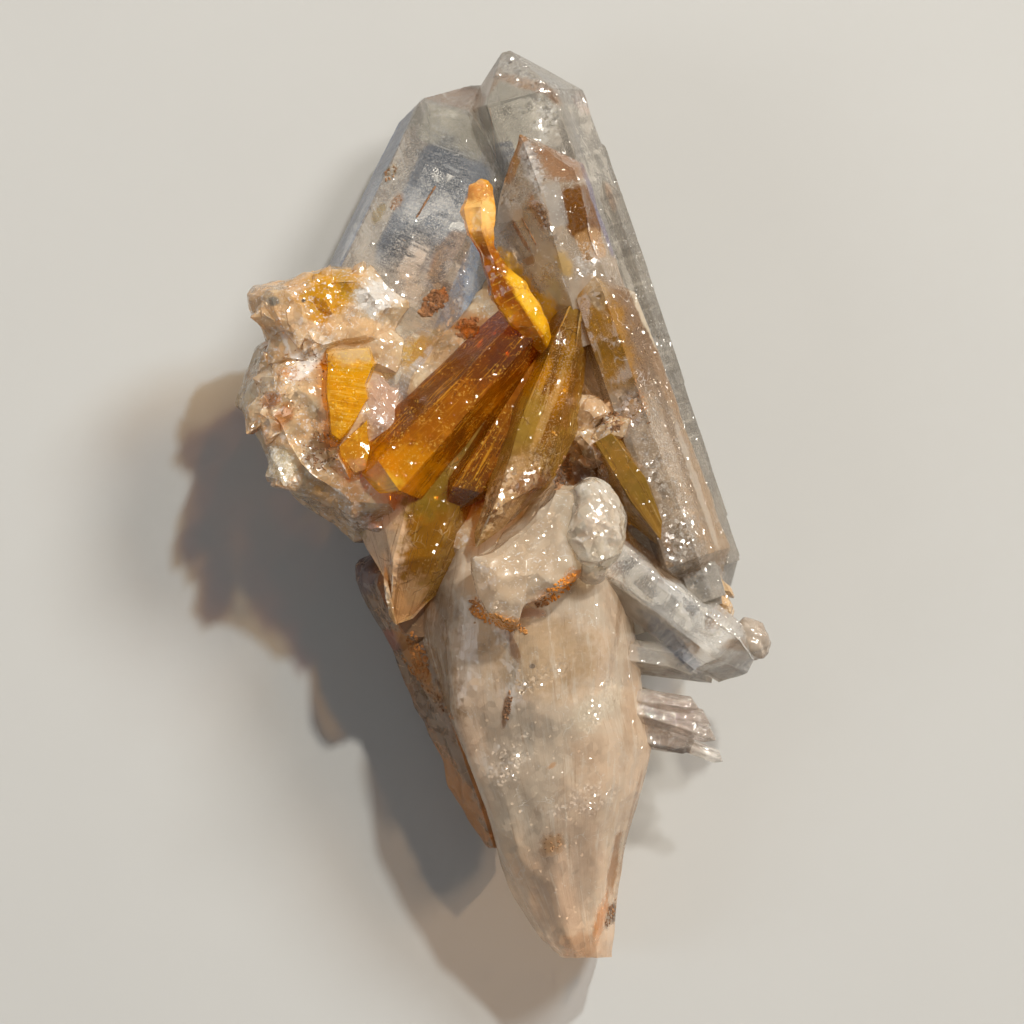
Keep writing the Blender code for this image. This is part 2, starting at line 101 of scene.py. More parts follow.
def ring_at(along, across, height, half):
    """A regular six-sided ring square to a crystal's length: half times the cosine and sine of six even
    angles round (across, height)."""
    angles = np.radians(60.0 * np.arange(6) + 15.0)
    return [(along, a, h) for a, h in zip(across + half * np.cos(angles), height + half * np.sin(angles))]


def waves(points, grain, seed, octaves=3, count=20):
    """Smooth noise of about -1 to 1: a sum of sine waves with random directions and phases. Each
    octave's waves are half as long and half as high as the last one's. grain is the first length."""
    chance = np.random.default_rng(seed)
    total = np.zeros(len(points))
    for octave in range(octaves):
        way = chance.normal(size=(count, 3))
        way /= np.linalg.norm(way, axis=1)[:, None]
        pitch = 2.0 * math.pi * 2.0**octave / grain * chance.uniform(0.7, 1.3, count)
        phase = chance.uniform(0.0, 2.0 * math.pi, count)
        total += 0.5**octave * np.sin(points @ (way * pitch[:, None]).T + phase).sum(axis=1)
    return total / math.sqrt(count)


def scallops(points, size, slope, seed, hollow=0.5, count_limit=500):
    """Conchoidal breaks: shallow bowls that meet in sharp crests. The lowest of many tilted bowls, each
    centred on a random seed s: level + tilt . (p - s) + hollow * |p - s|^2 / size."""
    chance = np.random.default_rng(seed)
    low, high = points.min(axis=0), points.max(axis=0)
    count = int(np.clip(np.prod(np.maximum(high - low, size)) / size**3 * 1.6, 12, count_limit))
    seeds = points[chance.integers(0, len(points), count)]
    tilt = chance.normal(scale=slope, size=(count, 3))
    level = chance.uniform(-0.3, 0.3, count) * size * slope
    bowl = hollow / size
    # |p - s|^2 and tilt . (p - s) come apart into products of whole arrays
    slopes = tilt - 2.0 * bowl * seeds
    levels = level - (tilt * seeds).sum(axis=1) + bowl * (seeds**2).sum(axis=1)
    stand = np.concatenate([(part @ slopes.T + levels).min(axis=1)
                            for part in np.array_split(points, max(1, len(points) // 4000))])
    return stand + bowl * (points**2).sum(axis=1)


def steps(value, pitch, sharpness=0.15):
    """A staircase: the whole part of value / pitch, with each riser spread over a share of the tread."""
    share = value / pitch
    whole = np.floor(share)
    return (whole + np.clip((share - whole) / sharpness, 0.0, 1.0)) * pitch


def grid_normals(grid):
    """Unit normals of a grid that closes round its columns: the cross product of its two differences."""
    around = np.roll(grid, -1, axis=1) - np.roll(grid, 1, axis=1)
    along = np.gradient(grid, axis=0)
    normal = np.cross(around, along)
    length = np.linalg.norm(normal, axis=2, keepdims=True)
    return normal / np.maximum(length, 1e-9)


def outward(grid, normal):
    """The normals, turned if most of them point towards the middle."""
    middle = grid.mean(axis=1, keepdims=True)
    return normal if ((grid - middle) * normal).sum() > 0 else -normal


def shares(first, last, count, worn):
    """Even shares from 0 to 1 that stay this far from a worn edge at either end."""
    return np.linspace(worn if first else 0.0, 1.0 - worn if last else 1.0, count)


def crystal_grid(rings, spacing, worn=0.018):
    """A crystal's skin between rings of corners. A point is the straight share between corner k and
    corner k + 1, and then the straight share between ring i and ring i + 1. The shares leave out a
    small part at each corner, which gives the edges a narrow worn bevel."""
    rings = np.asarray(rings, float)
    sides = rings.shape[1]
    widest = np.linalg.norm(rings - np.roll(rings, -1, axis=1), axis=2).max(axis=0)
    across = [shares(True, True, max(3, int(w / spacing)), worn)[:, None] for w in widest]
    columns = np.concatenate([
        rings[:, k][:, None] * (1.0 - s) + rings[:, (k + 1) % sides][:, None] * s
        for k, s in enumerate(across)], axis=1)
    rows = []
    for i in range(len(rings) - 1):
        longest = np.linalg.norm(rings[i + 1] - rings[i], axis=1).max()
        t = shares(i > 0, True, max(3, int(longest / spacing)), worn * 0.7)
        rows.append(columns[i] * (1.0 - t)[:, None, None] + columns[i + 1] * t[:, None, None])
    rows.append(columns[-1:])
    return np.concatenate(rows, axis=0)


def growth_coordinates(grid):
    """Millimetres round and along a grid: the running sums of its column and row distances."""
    closed = np.concatenate([grid, grid[:, :1]], axis=1)
    around = np.linalg.norm(np.diff(closed, axis=1), axis=2).mean(axis=0)
    u = np.concatenate([[0.0], np.cumsum(around)])
    middle = grid.mean(axis=1)
    v = np.concatenate([[0.0], np.cumsum(np.linalg.norm(np.diff(middle, axis=0), axis=1))])
    return np.meshgrid(u, v)


def skin(name, grid, sharp=28.0):
    """Makes the object of a grid in millimetres whose columns close on themselves. A middle point closes
    each end row. Corners in one place are merged, and the faces are turned over where the volume that
    they close comes out below zero, so that they point outwards."""
    grid = np.concatenate([grid[..., :2], np.maximum(grid[..., 2:], 0.0)], axis=-1)
    rows, columns = grid.shape[:2]
    points = np.concatenate([grid.reshape(-1, 3), grid[:1].mean(axis=1), grid[-1:].mean(axis=1)])
    index = np.arange(rows * columns).reshape(rows, columns)
    beside = np.roll(index, -1, axis=1)
    quads = np.stack([index[:-1], beside[:-1], beside[1:], index[1:]], axis=-1).reshape(-1, 4)
    first = np.stack([beside[0], index[0], np.full(columns, rows * columns)], axis=-1)
    last = np.stack([index[-1], beside[-1], np.full(columns, rows * columns + 1)], axis=-1)
    u, v = growth_coordinates(grid)
    pairs = np.stack([u, v], axis=-1) / UV_UNIT
    quad_uv = np.stack([pairs[:-1, :-1], pairs[:-1, 1:], pairs[1:, 1:], pairs[1:, :-1]], axis=2)
    quad_uv = quad_uv.reshape(-1, 2)
    first_uv = np.stack([pairs[0, 1:], pairs[0, :-1], pairs[0, :-1]], axis=1).reshape(-1, 2)
    last_uv = np.stack([pairs[-1, :-1], pairs[-1, 1:], pairs[-1, 1:]], axis=1).reshape(-1, 2)
    corners = np.concatenate([quads.ravel(), first.ravel(), last.ravel()])
    starts = np.concatenate([np.arange(len(quads)) * 4, len(quads) * 4 + np.arange(2 * columns) * 3])
    mesh = bpy.data.meshes.new(name)
    mesh.vertices.add(len(points))
    mesh.vertices.foreach_set("co", (points * MM).astype(np.float32).ravel())
    mesh.loops.add(len(corners))
    mesh.loops.foreach_set("vertex_index", corners.astype(np.int32))
    mesh.polygons.add(len(starts))
    mesh.polygons.foreach_set("loop_start", starts.astype(np.int32))
    mesh.update(calc_edges=True)
    layer = mesh.uv_layers.new(name=UV_NAME)
    layer.data.foreach_set("uv", np.concatenate([quad_uv, first_uv, last_uv]).astype(np.float32).ravel())
    bm = bmesh.new()
    bm.from_mesh(mesh)
    bmesh.ops.remove_doubles(bm, verts=bm.verts, dist=1e-6)
    if bm.calc_volume(signed=True) < 0.0:
        bmesh.ops.reverse_faces(bm, faces=bm.faces)
    bm.to_mesh(mesh)
    bm.free()
    mesh.polygons.foreach_set("use_smooth", np.ones(len(mesh.polygons), bool))
    mesh.set_sharp_from_angle(angle=math.radians(sharp))
    mesh.validate()
    return placed(name, mesh)


def placed(name, data):
    """The object of a mesh, light or camera, linked to the scene."""
    thing = bpy.data.objects.new(name, data)
    bpy.context.scene.collection.objects.link(thing)
    return thing


def dress(piece, material):
    """Gives a piece its material, parents it to the body that it rides on, and hides the CAD solid that it
    stands for.
    """
    piece.data.materials.append(material)
    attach(piece, BODY)
    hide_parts(NODE)
    return piece


def crystal(name, heading, rings, material, spacing=None, striae=None, swell=0.03, chip=0.0,
            chip_size=2.0, seed=1, grain=1.3):
    """A quartz crystal through rings of (along, across, height) corners. Its skin then moves along its
    normal by fine growth lines square to its length, a slow swell, and chips where it is damaged."""
    sizes = bpy.context.scene.specimen_sizes
    striae = sizes.striae / MM if striae is None else striae
    grid = crystal_grid(on_axis(heading, rings), spacing or sizes.grid / MM)
    flat = grid.reshape(-1, 3)
    u, v = growth_coordinates(grid)
    lines = np.stack([u[:, :-1] * 0.10, v[:, :-1] * 1.0, np.zeros_like(u[:, :-1])], axis=-1).reshape(-1, 3)
    move = striae * steps(waves(lines, grain, seed, octaves=2), 0.35)
    move += swell * waves(flat, 7.0, seed + 1, octaves=2)
    if chip:
        move += chip * np.minimum(0.0, scallops(flat, chip_size, 0.5, seed + 2) + chip_size * 0.15)
    normal = outward(grid, grid_normals(grid))
    return dress(skin(name, grid + normal * move.reshape(grid.shape[:2] + (1,))), material)


# Each crystal: its heading in degrees from +X and its rings of corners (along, across, height).
GREAT_HEADING = 108.3
GREAT_RINGS = (
    ((-16.5, 8.4, 8), (-16.5, 10.6, 15), (-16.5, 16.4, 16.4), (-16.5, 18.1, 9.5), (-16.5, 17, 0),
     (-16.5, 10.5, 0)),
    ((-12.2, 8.5, 8), (-12, 10.6, 15.8), (-12, 17.9, 17.2), (-12.4, 20.9, 9.5), (-12.6, 19.1, 0),
     (-12, 10.5, 0)),
    ((38.8, 9, 7.6), (38.4, 11, 15.2), (37.9, 17.9, 16.2), (37, 20.9, 9), (36, 19, 0.4), (36.5, 10.8, 0.4)),
    ((43.1, 14.2, 9.6), (43.1, 14.2, 9.6), (43.1, 15.1, 9.2), (43.1, 15.1, 9.2), (43.1, 15.1, 9.2),
     (43.1, 14.2, 9.6)),
)
LEFT_HEADING = 63.7
LEFT_RINGS = (
    ((-4, -26.2, 9), (-4, -25.2, 14.6), (-4, -22.6, 16), (-4, -13.7, 18.8), (-4, -8.3, 13),
     (-4, -9.5, 4.6), (-4, -21, 1.4)),
    ((29.9, -26.4, 6.6), (32.6, -25.3, 9.2), (29.5, -22.6, 11.6), (30.4, -14.4, 13.2), (28, -10.5, 9),
     (28, -11.5, 3.4), (29, -21, 2)),
    ((33, -25.3, 7), (33.2, -25.1, 8.6), (32.3, -23.9, 10.2), (34.3, -21, 10.4), (36, -17.5, 8),
     (35.5, -18, 4.5), (33.5, -23, 3.5)),
    ((35.8, -22.3, 6.9), (35.8, -22.3, 6.9), (36, -22.1, 7.4), (36.8, -20.8, 7.6), (37.5, -19.4, 7.2),
     (37.5, -19.4, 7.2), (36.5, -21.5, 6.4)),
)
CITRINE_RINGS = (
    ((12.5, 8, 15.5), (12.5, 12.6, 19.9), (12.5, 16.8, 19.2), (12.5, 18.6, 16), (12.5, 17, 12),
     (12.5, 9.5, 12)),
    ((25.5, 7.3, 17), (28.5, 13.4, 22), (29.6, 17.4, 21.2), (29.8, 18.5, 18), (28, 17, 13), (27, 10, 13)),
    ((30.6, 10.1, 17.8), (34.6, 13.3, 19), (34.6, 13.6, 18.8), (34.4, 13.8, 18.4), (34, 13.6, 17.6),
     (32.4, 11.5, 17.4)),
)
AMBER_HEADING = 222.9
AMBER_RINGS = (
    ((-15, 14.6, 17), (-15, 12.8, 21), (-15, 10.2, 21.6), (-15, 8.6, 18), (-15, 9.4, 14), (-15, 13.2, 14)),
    ((5.2, 14.5, 18), (6, 11.6, 22.4), (6.4, 8, 23.4), (5.4, 5.9, 19), (3, 7.5, 13), (2, 13, 13)),
    ((7.9, 13.4, 18.4), (8.1, 11.6, 19.4), (8.3, 9.2, 19.4), (8.2, 9.2, 18.4), (6, 10, 15.6),
     (6, 12.6, 15.6)),
)
DARK_AMBER_HEADING = 237.3
DARK_AMBER_RINGS = (
    ((-14, 6.4, 16), (-14, 5.2, 19.4), (-14, 3.4, 19.6), (-14, 2.4, 16), (-14, 3, 13), (-14, 6, 13)),
    ((0.4, 7.2, 16), (1, 5.2, 20.2), (0, 2.4, 20.4), (-1.5, 0.6, 16), (-2, 2, 12), (-1, 6, 12)),
    ((3.8, 4.6, 17.4), (3.8, 4.6, 17.4), (3, 3.4, 17.4), (3, 3.4, 17.4), (2.6, 3.6, 16), (2.6, 4.4, 16)),
)
BROWN_RINGS = (
    ((-15, 15, 11.6), (-15, 15.4, 12.6), (-15, 16.8, 12.8), (-15, 18, 12), (-15, 17.6, 10),
     (-15, 15.4, 10)),
    ((-11, 12.8, 15), (-11, 13.6, 19.4), (-11, 16.9, 20.4), (-11, 20.4, 15.2), (-11, 19, 11),
     (-11, 14, 11)),
    ((15, 12.6, 16.4), (17.2, 13.4, 20.6), (17.6, 16.2, 22), (16, 19.4, 17.4), (14, 18.6, 12),
     (13, 14, 12)),
    ((19.1, 14.6, 19.4), (19.1, 14.6, 19.6), (19.2, 15.9, 19.6), (19.2, 15.9, 19.4), (18.4, 15.8, 18.4),
     (18.4, 14.8, 18.4)),
)
OLIVE_BLADE_HEADING = 248.65
OLIVE_BLADE_RINGS = (
    ((-21, 2.2, 18), (-21, 1.2, 20.6), (-21, -0.6, 20.8), (-21, -1.4, 18), (-21, -0.6, 15), (-21, 1.6, 15)),
    ((-9, 3, 19), (-9.5, 1.4, 22.2), (-9, -2.6, 22.6), (-9.2, -4.5, 19.6), (-6, -3, 15), (-6, 2, 15)),
    ((3.5, 1.8, 20.2), (1, 0.8, 23), (-2.8, -2.4, 23.2), (-3.2, -3.8, 20.4), (-3, -2.6, 16.4),
     (1.6, 1.5, 16.8)),
    ((4.9, 0.9, 20.6), (4.9, 0.9, 20.6), (1.9, -1.1, 20.8), (1.9, -1.1, 20.6), (1.6, -0.8, 19.6),
     (3.6, 0.7, 19.6)),
)
OLIVE_POINT_HEADING = 256
OLIVE_POINT_RINGS = (
    ((-8, 13.4, 12), (-8, 11.6, 17.6), (-8, 9.2, 19.4), (-8, 2.4, 17.6), (-8, 1.6, 12), (-8, 8, 9)),
    ((5.9, 13.6, 13.4), (4, 11.5, 17.4), (8, 9.2, 19.4), (6.4, 5, 18.6), (5.6, 2, 15.4), (5.5, 7, 9.8)),
    ((10.4, 9.3, 16.2), (10.4, 9.3, 17.4), (13.2, 8.3, 16), (13, 5.8, 15.4), (9.5, 3.8, 15), (11.6, 7, 13)),
    ((14.1, 7.4, 15.5), (14.1, 7.4, 15.5), (14.1, 7.4, 15.6), (14, 7.2, 15.6), (13.8, 7.1, 15.2),
     (13.8, 7.2, 15)),
)
WEDGE_HEADING = 299.3
WEDGE_RINGS = (
    ((-1, -9.6, 16), (-1, -11.2, 20.6), (-1, -13, 21), (-1, -14.4, 17), (-1, -13, 13), (-1, -10.6, 13)),
    ((6.6, -9.7, 17.4), (6, -11.4, 21.2), (4.4, -13.8, 21.2), (6, -14.1, 18), (6, -13, 14), (6, -11, 14)),
    ((13.1, -12.5, 18.8), (13.1, -12.5, 18.8), (13.1, -12.6, 18.8), (13.1, -12.6, 18.7),
     (12.8, -12.6, 18), (12.8, -12.5, 18)),
)
GOLD_BLADE_OUTLINE = (
    (-17.4, 15.4), (-13, 16.1), (-12.5, 14.1), (-13.5, 12.1), (-13.2, 10.6), (-15, 7.6), (-16.2, 6),
    (-17.1, 6.6), (-17.5, 10.6),
)
GOLD_BLADE_LEVELS = ((12, 0.8), (18.6, 1), (20.4, 0.9))
GOLD_WEDGE_OUTLINE = (
    (-13.2, 9.2), (-12.8, 6), (-13.4, 3.2), (-14.7, 2.8), (-16.4, 4.8), (-16.7, 6), (-15, 7.4),
)
GOLD_WEDGE_LEVELS = ((12, 0.8), (18, 1), (19.9, 0.8))
NECK_OUTLINE = (
    (-23.2, 17.8), (-18, 18.8), (-12, 18.6), (-9.6, 16.4), (-10.4, 13.4), (-14, 12.6), (-19, 13.2),
    (-23.4, 14.2),
)
NECK_LEVELS = ((6, 0.8), (14, 1), (17.4, 0.96), (18.9, 0.7))
ROD_HEADING = 323.5
ROD_RINGS = (
    ((9, -5.6, 16), (9, -3.7, 19.4), (9, -0.8, 19), (9, 1.2, 15), (9, 0.4, 11), (9, -4.2, 11.4)),
    ((27, -4.9, 15.4), (27, -3.5, 18.4), (26.2, -0.3, 17.8), (25.2, 1.8, 14.4), (25, 0.8, 11),
     (26, -3.8, 11.4)),
    ((28.3, -4.2, 15), (29.5, -2.6, 15.2), (29.7, -1.1, 14.8), (27.9, 1.4, 13.2), (27.4, 0.4, 12),
     (28, -3, 12.6)),
)
CHIP_HEADING = 352
CHIP_RINGS = (
    ((11, 11.2, 12), (11, 11.9, 14.6), (11, 13.4, 14.8), (11, 14.9, 11.4), (11, 13.8, 8.6), (11, 12, 8.8)),
    ((20, 11.4, 12.2), (19.4, 12.2, 14.4), (18.8, 13.6, 14.4), (18, 14.8, 11.2), (18, 13.8, 9.2),
     (18, 12.4, 9.2)),
    ((23.2, 13.6, 12), (23.2, 13.6, 12.2), (23.2, 14.6, 11.6), (23.2, 14.6, 11.4), (22.4, 14.2, 10.4),
     (22.4, 13.8, 10.4)),
)

# Thin crystals along the great point's right side: foot, end, place across, height and half width.
GREAT_LEDGES = (
    (-12.6, 10, 19.2, 12.4, 1.7), (-15.4, 3, 16.4, 15.6, 2.1), (-12.2, -4.5, 19.5, 10.2, 1.6),
    (6, 26, 19.9, 11.4, 1.4), (-8, 31, 19.3, 6, 2),
)
FAN_FOOT = 12
FAN_BLADES = (
    (-8, 21.4, 17.1, 13, 1), (-14, 24.4, 15.9, 12.4, 1.2), (-18, 26.4, 15.3, 13, 1.1),
    (-21, 29, 15.7, 11.6, 0.8), (-12, 22.8, 19.8, 11.8, 0.8),
)
FINGER_PATH = (
    (4.3, 15.8, 19.4, 0.6), (3.3, 17.3, 20.2, 1.5), (2, 19.2, 20.8, 2), (0.6, 21.4, 21.2, 1.9),
    (-0.6, 23.5, 21.4, 1.35), (-1.5, 25.3, 21.5, 1), (-2.2, 27.2, 21.6, 1.45), (-2.4, 29.2, 21.4, 1.85),
    (-2.1, 31, 20.8, 1.5), (-1.7, 31.9, 20.2, 0.7),
)
FINGER_DEPTH = 1.25
FINGER_ROLL = 20

ARM_OUTLINE = (
    (-25.1, 21.1), (-24.7, 19.3), (-23.4, 16.6), (-18, 14.6), (-11.6, 16.2), (-9.6, 20), (-13.1, 23.7),
    (-17, 23.7), (-20.9, 22.5), (-24.7, 21.9),
)
ARM_LEVELS = ((9.5, 0.6), (13, 1), (17, 1), (20, 0.72))
CHUNK_OUTLINE = (
    (-24.4, 15.7), (-24.9, 14.3), (-26.5, 10.2), (-25.4, 8.8), (-23.9, 5.4), (-22.2, 2.5), (-19.6, 0.2),
    (-16.6, -2), (-14.6, -3.4), (-9, -3), (-6, 6), (-12.6, 15), (-19, 17.2), (-22.8, 16.6),
)
CHUNK_LEVELS = ((0, 0.62), (4, 0.86), (10, 1), (16.5, 0.9), (19.3, 0.66))
CAP_OUTLINE = (
    (-3.4, -5), (-1.8, -4.2), (0.1, -2.1), (1.6, -1), (3.2, 0.7), (5.5, 2.1), (7.4, 1.4), (7.4, -6),
    (5.8, -8.3), (3.9, -9.8), (2.4, -10.4), (1.6, -12.3), (0.1, -12.1), (-1.8, -10.8), (-3.1, -9.2),
    (-3.7, -6.6),
)
CAP_LEVELS = ((18, 0.96), (23.6, 1), (25.8, 0.9), (26.7, 0.62))
HEART_OUTLINE = ((-13, 2), (-6, -7), (10, -7), (14, 4), (8, 19), (1, 24), (-11, 14))
HEART_LEVELS = ((2.5, 0.7), (7, 1), (13, 1), (16.4, 0.8))
FAN_ROOT_OUTLINE = (
    (11, -17.6), (11, -24), (15.3, -24.5), (18.6, -24.5), (19.8, -21.6), (17, -19.4), (15.3, -18.4),
)
FAN_ROOT_LEVELS = ((9.4, 0.9), (11, 1), (12.8, 0.86))
SLAB_OUTLINE = (
    (-14.5, -7.4), (-14.3, -5.9), (-13.2, -5.2), (-10.5, -2), (-6, -3), (-3, -14), (-8, -15.4),
    (-10.8, -14.8), (-13.4, -10),
)
SLAB_LEVELS = ((1, 0.7), (7, 1), (10, 0.92), (13.4, 0.66))

# The milky tail's sections: y, then (x, height) of its edges, from back-left over the front to back-right.
TAIL_SECTIONS = (
    (4, ((-6, 2), (-8, 9), (-3, 12.5), (3, 13.5), (8.5, 13), (11, 9), (9, 1))),
    (-8, ((-5, 0), (-9.3, 9), (-4.6, 19.8), (2, 22.6), (8.6, 21.8), (13, 13), (10, 0))),
    (-14, ((-4, 0), (-9.2, 10), (-5.3, 19.4), (2, 22.4), (9.4, 20.8), (13.9, 12.6), (11, 0))),
    (-20, ((-2, 0), (-6, 9.5), (-5.2, 18.2), (3, 21.8), (9.2, 19.8), (14.6, 12), (11.5, 0))),
    (-24, ((-1, 0), (-4.4, 9.2), (-4, 17.6), (3.5, 19.8), (10.6, 18.8), (15.2, 11.4), (11.5, 0))),
    (-28, ((0, 0), (-2.8, 9), (-2.4, 16.8), (4, 18.9), (10, 17.9), (14.4, 10.8), (11, 0))),
    (-34, ((1.5, 0), (-1, 8.6), (-0.5, 14.6), (4.5, 17), (9.6, 15.6), (13.2, 9.8), (10.5, 0))),
    (-40, ((3, 0), (1.2, 7.6), (2.3, 12.2), (6, 14.2), (9.4, 13), (12.2, 8.4), (10, 0))),
    (-43.4, ((4.6, 1), (3.7, 7), (4.4, 10.8), (6.8, 12.4), (9.6, 11.6), (11.6, 7.4), (10, 1))),
    (-45.3, ((6.2, 2.6), (5.2, 6.6), (5.8, 9.6), (7.4, 10.6), (9.6, 10.2), (11.1, 7), (10, 2.6))),
)
# The smoky band down the tail's left edge, painted dark also for the shade that it lies in: y, then (x,
# height) of its edges in the same order.
BAND_SECTIONS = (
    (-11.5, ((-8, 1), (-12, 6), (-9.6, 11), (-7, 13.5), (-3, 8), (-4, 1))),
    (-14.9, ((-7.4, 1), (-10.8, 7.6), (-9, 11.6), (-7, 13.5), (-2, 8), (-3, 1))),
    (-18.1, ((-6.4, 1), (-9.5, 7.5), (-7.8, 11.4), (-6.2, 13.2), (-1, 8), (-2, 1))),
    (-23.6, ((-4, 1), (-7.1, 7), (-5.6, 10.8), (-4.4, 12.4), (0, 7), (-1, 1))),
    (-29.3, ((-2.2, 1.4), (-4.9, 6.5), (-3.6, 10), (-2.4, 11.4), (1, 6), (0, 1.4))),
    (-34.3, ((-0.4, 3), (-1.4, 6), (-1.2, 8), (-0.8, 9), (0.6, 6), (0.6, 3.4))),
)
# Broken flakes on the rough quartz: outline, middle height, how many, half length, half width and half
# thickness, and how far a flake leans.
FLAKE_FIELDS = (
    ("arm", ARM_OUTLINE, 18.6, 15, (3.4, 2.2, 1.3), 0.45),
    ("chunk", CHUNK_OUTLINE, 17.6, 34, (3.4, 2.4, 1.5), 0.5),
    ("brow", ((7.4, 1.6), (11.8, 1.6), (12.4, 6), (10.8, 13.4), (8.6, 13.6),
     (7.2, 8)), 18.8, 15, (3.2, 1.9, 1.6), 0.6),
    ("foot", ((14.4, -3.4), (20, -3.4), (23.2, -9.6), (22, -12.4),
     (18, -9.6)), 13.2, 14, (2.8, 1.5, 1.4), 0.6),
    ("seam", ((-15.6, 0.6), (-10.6, 1.6), (-7.6, -1.6), (-13.4, -4)), 15.6, 9, (2.4, 1.5, 1.4), 0.6),
)
FLAKE_LEVELS = ((-1, 0.55), (-0.25, 1), (0.45, 0.92), (1, 0.5))

# Sheets of fine cracks inside the clear crystals: name, heading, and (along, across, height) corners.
VEIL_THICKNESS = 0.12
VEILS = (
    ("left_window", LEFT_HEADING, ((13.8, -21.6, 13.4), (13.8, -15, 15.2), (27.4, -15.2, 13.2),
     (27.4, -22, 11.6))),
    ("left_low", LEFT_HEADING, ((1, -21, 15), (1, -14.6, 17.2), (11.6, -14.8, 15.6), (11.6, -21.4, 13.8))),
    ("left_deep", LEFT_HEADING, ((4, -24, 9), (6, -12, 10), (26, -13, 8.4), (24, -24, 6))),
    ("left_strip", LEFT_HEADING, ((12, -24.8, 12), (12, -22.8, 13.4), (30, -22.9, 10.9), (31, -25, 9))),
    ("great_face", GREAT_HEADING, ((27, 11.4, 15), (27, 17.2, 15.8), (38, 17.2, 15.4), (38, 11.4, 14.6))),
    ("great_side", GREAT_HEADING, ((-4, 18.6, 14.2), (-4, 20.4, 9.4), (36, 20.4, 8.8), (36, 18.5, 13.8))),
    ("great_deep", GREAT_HEADING, ((0, 10, 8), (4, 19, 7), (34, 18.6, 6.4), (30, 10, 9))),
    ("brown_low", GREAT_HEADING, ((-9, 14.6, 18.6), (-9, 17.6, 18.4), (6, 17.6, 19), (6, 14.4, 19.2))),
    ("rod_core", ROD_HEADING, ((12, -4, 17.6), (12, -1, 17.2), (26, -1, 16.6), (26, -3.8, 17))),
)

# Iron crust: middle of the patch, half sizes, turn in degrees, how many crumbs, their size and their length.
CRUSTS = (
    (-6.8, 20.3, 1.7, 0.9, 45, 150, 0.32, 1.5),
    (-3.4, 17.8, 1.3, 1, 40, 130, 0.32, 1.5),
    (-11.2, 33.3, 0.9, 0.5, 60, 24, 0.16, 1.5),
    (-10.6, 30.3, 0.9, 0.4, 60, 20, 0.14, 1.5),
    (-8.4, -14.9, 2.4, 0.8, -70, 120, 0.22, 1.6),
    (-7.4, -18.2, 4.2, 0.4, -50, 90, 0.18, 1.8),
    (5.4, -8.4, 2.6, 0.7, 38, 130, 0.2, 1.5),
    (-0.2, -11.5, 3, 0.6, -20, 120, 0.2, 1.6),
    (-2.4, -10.2, 1.2, 0.7, -60, 50, 0.22, 1.4),
    (11, 8.4, 1.1, 0.9, 20, 60, 0.14, 5),
    (6.1, 3.4, 1.9, 0.7, 70, 70, 0.2, 3),
    (0.6, -19.9, 1.6, 0.3, 80, 36, 0.14, 2.2),
    (-20.6, 12.4, 4.4, 3.6, 40, 60, 0.11, 2.5),
    (-18, 5.6, 2, 1.8, 50, 70, 0.13, 4),
    (10.9, -40.8, 1.4, 0.4, 72, 50, 0.16, 1.5),
    (3.6, 28.9, 1.3, 0.6, -60, 30, 0.12, 2.5),
    (14, 10.4, 2.6, 0.4, 110, 30, 0.1, 5),
    (5, -33.6, 1.2, 0.8, 30, 24, 0.12, 1.5),
)
NEEDLES = ((-6.7, 31.9, -8.5, 28.9, 0.12), (2, 28.6, 3.4, 26, 0.1), (-1.2, 39.6, -0.6, 34.8, 0.05))


def resampled(corners, count):
    """Even places along a closed outline: straight shares between its corners by running length."""
    corners = np.asarray(corners, float)
    closed = np.concatenate([corners, corners[:1]])
    run = np.concatenate([[0.0], np.cumsum(np.linalg.norm(np.diff(closed, axis=0), axis=1))])
    at = np.linspace(0.0, run[-1], count, endpoint=False)
    return np.stack([np.interp(at, run, closed[:, k]) for k in range(corners.shape[1])], axis=1)


def block_grid(outline, levels, spacing):
    """A lump's skin: at each height the outline shrunk towards its middle by the level's share, from a
    middle point below to a middle point above. Rows are evenly spaced along the profile."""
    length = sum(np.hypot(*(np.roll(outline, -1, axis=0) - np.array(outline)).T))
    ring = resampled(outline, max(24, int(length / spacing)))
    middle = ring.mean(axis=0)
    reach = np.linalg.norm(ring - middle, axis=1).mean()
    profile = np.array([(levels[0][0], 0.02)] + list(levels) + [(levels[-1][0] + 0.25, 0.02)])
    run = np.concatenate([[0.0], np.cumsum(np.hypot(np.diff(profile[:, 0]), np.diff(profile[:, 1]) * reach))])
    at = np.linspace(0.0, run[-1], max(10, int(run[-1] / spacing)))
    height, share = np.interp(at, run, profile[:, 0]), np.interp(at, run, profile[:, 1])
    plan = middle + (ring - middle)[None] * share[:, None, None]
    return np.concatenate([plan, np.broadcast_to(height[:, None, None], plan.shape[:2] + (1,))], axis=2)


def loft_grid(sections, spacing):
    """A skin through sections of (x, height) edges at each y: straight shares round and along."""
    rings = np.array([[(x, y, z) for x, z in edges] for y, edges in sections])
    widest = np.linalg.norm(rings - np.roll(rings, -1, axis=1), axis=2).max(axis=0)
    counts = np.maximum(2, (widest / spacing).astype(int))
    columns = np.concatenate([
        rings[:, k][:, None] + (np.roll(rings, -1, axis=1)[:, k] - rings[:, k])[:, None]
        * (np.arange(n) / n)[None, :, None] for k, n in enumerate(counts)], axis=1)
    run = np.concatenate([[0.0], np.cumsum(np.abs(np.diff([y for y, _ in sections])))])
    at = np.linspace(0.0, run[-1], int(run[-1] / spacing))
    low = np.clip(np.searchsorted(run, at, side="right") - 1, 0, len(run) - 2)
    share = ((at - run[low]) / (run[low + 1] - run[low]))[:, None, None]
    return columns[low] * (1.0 - share) + columns[low + 1] * share


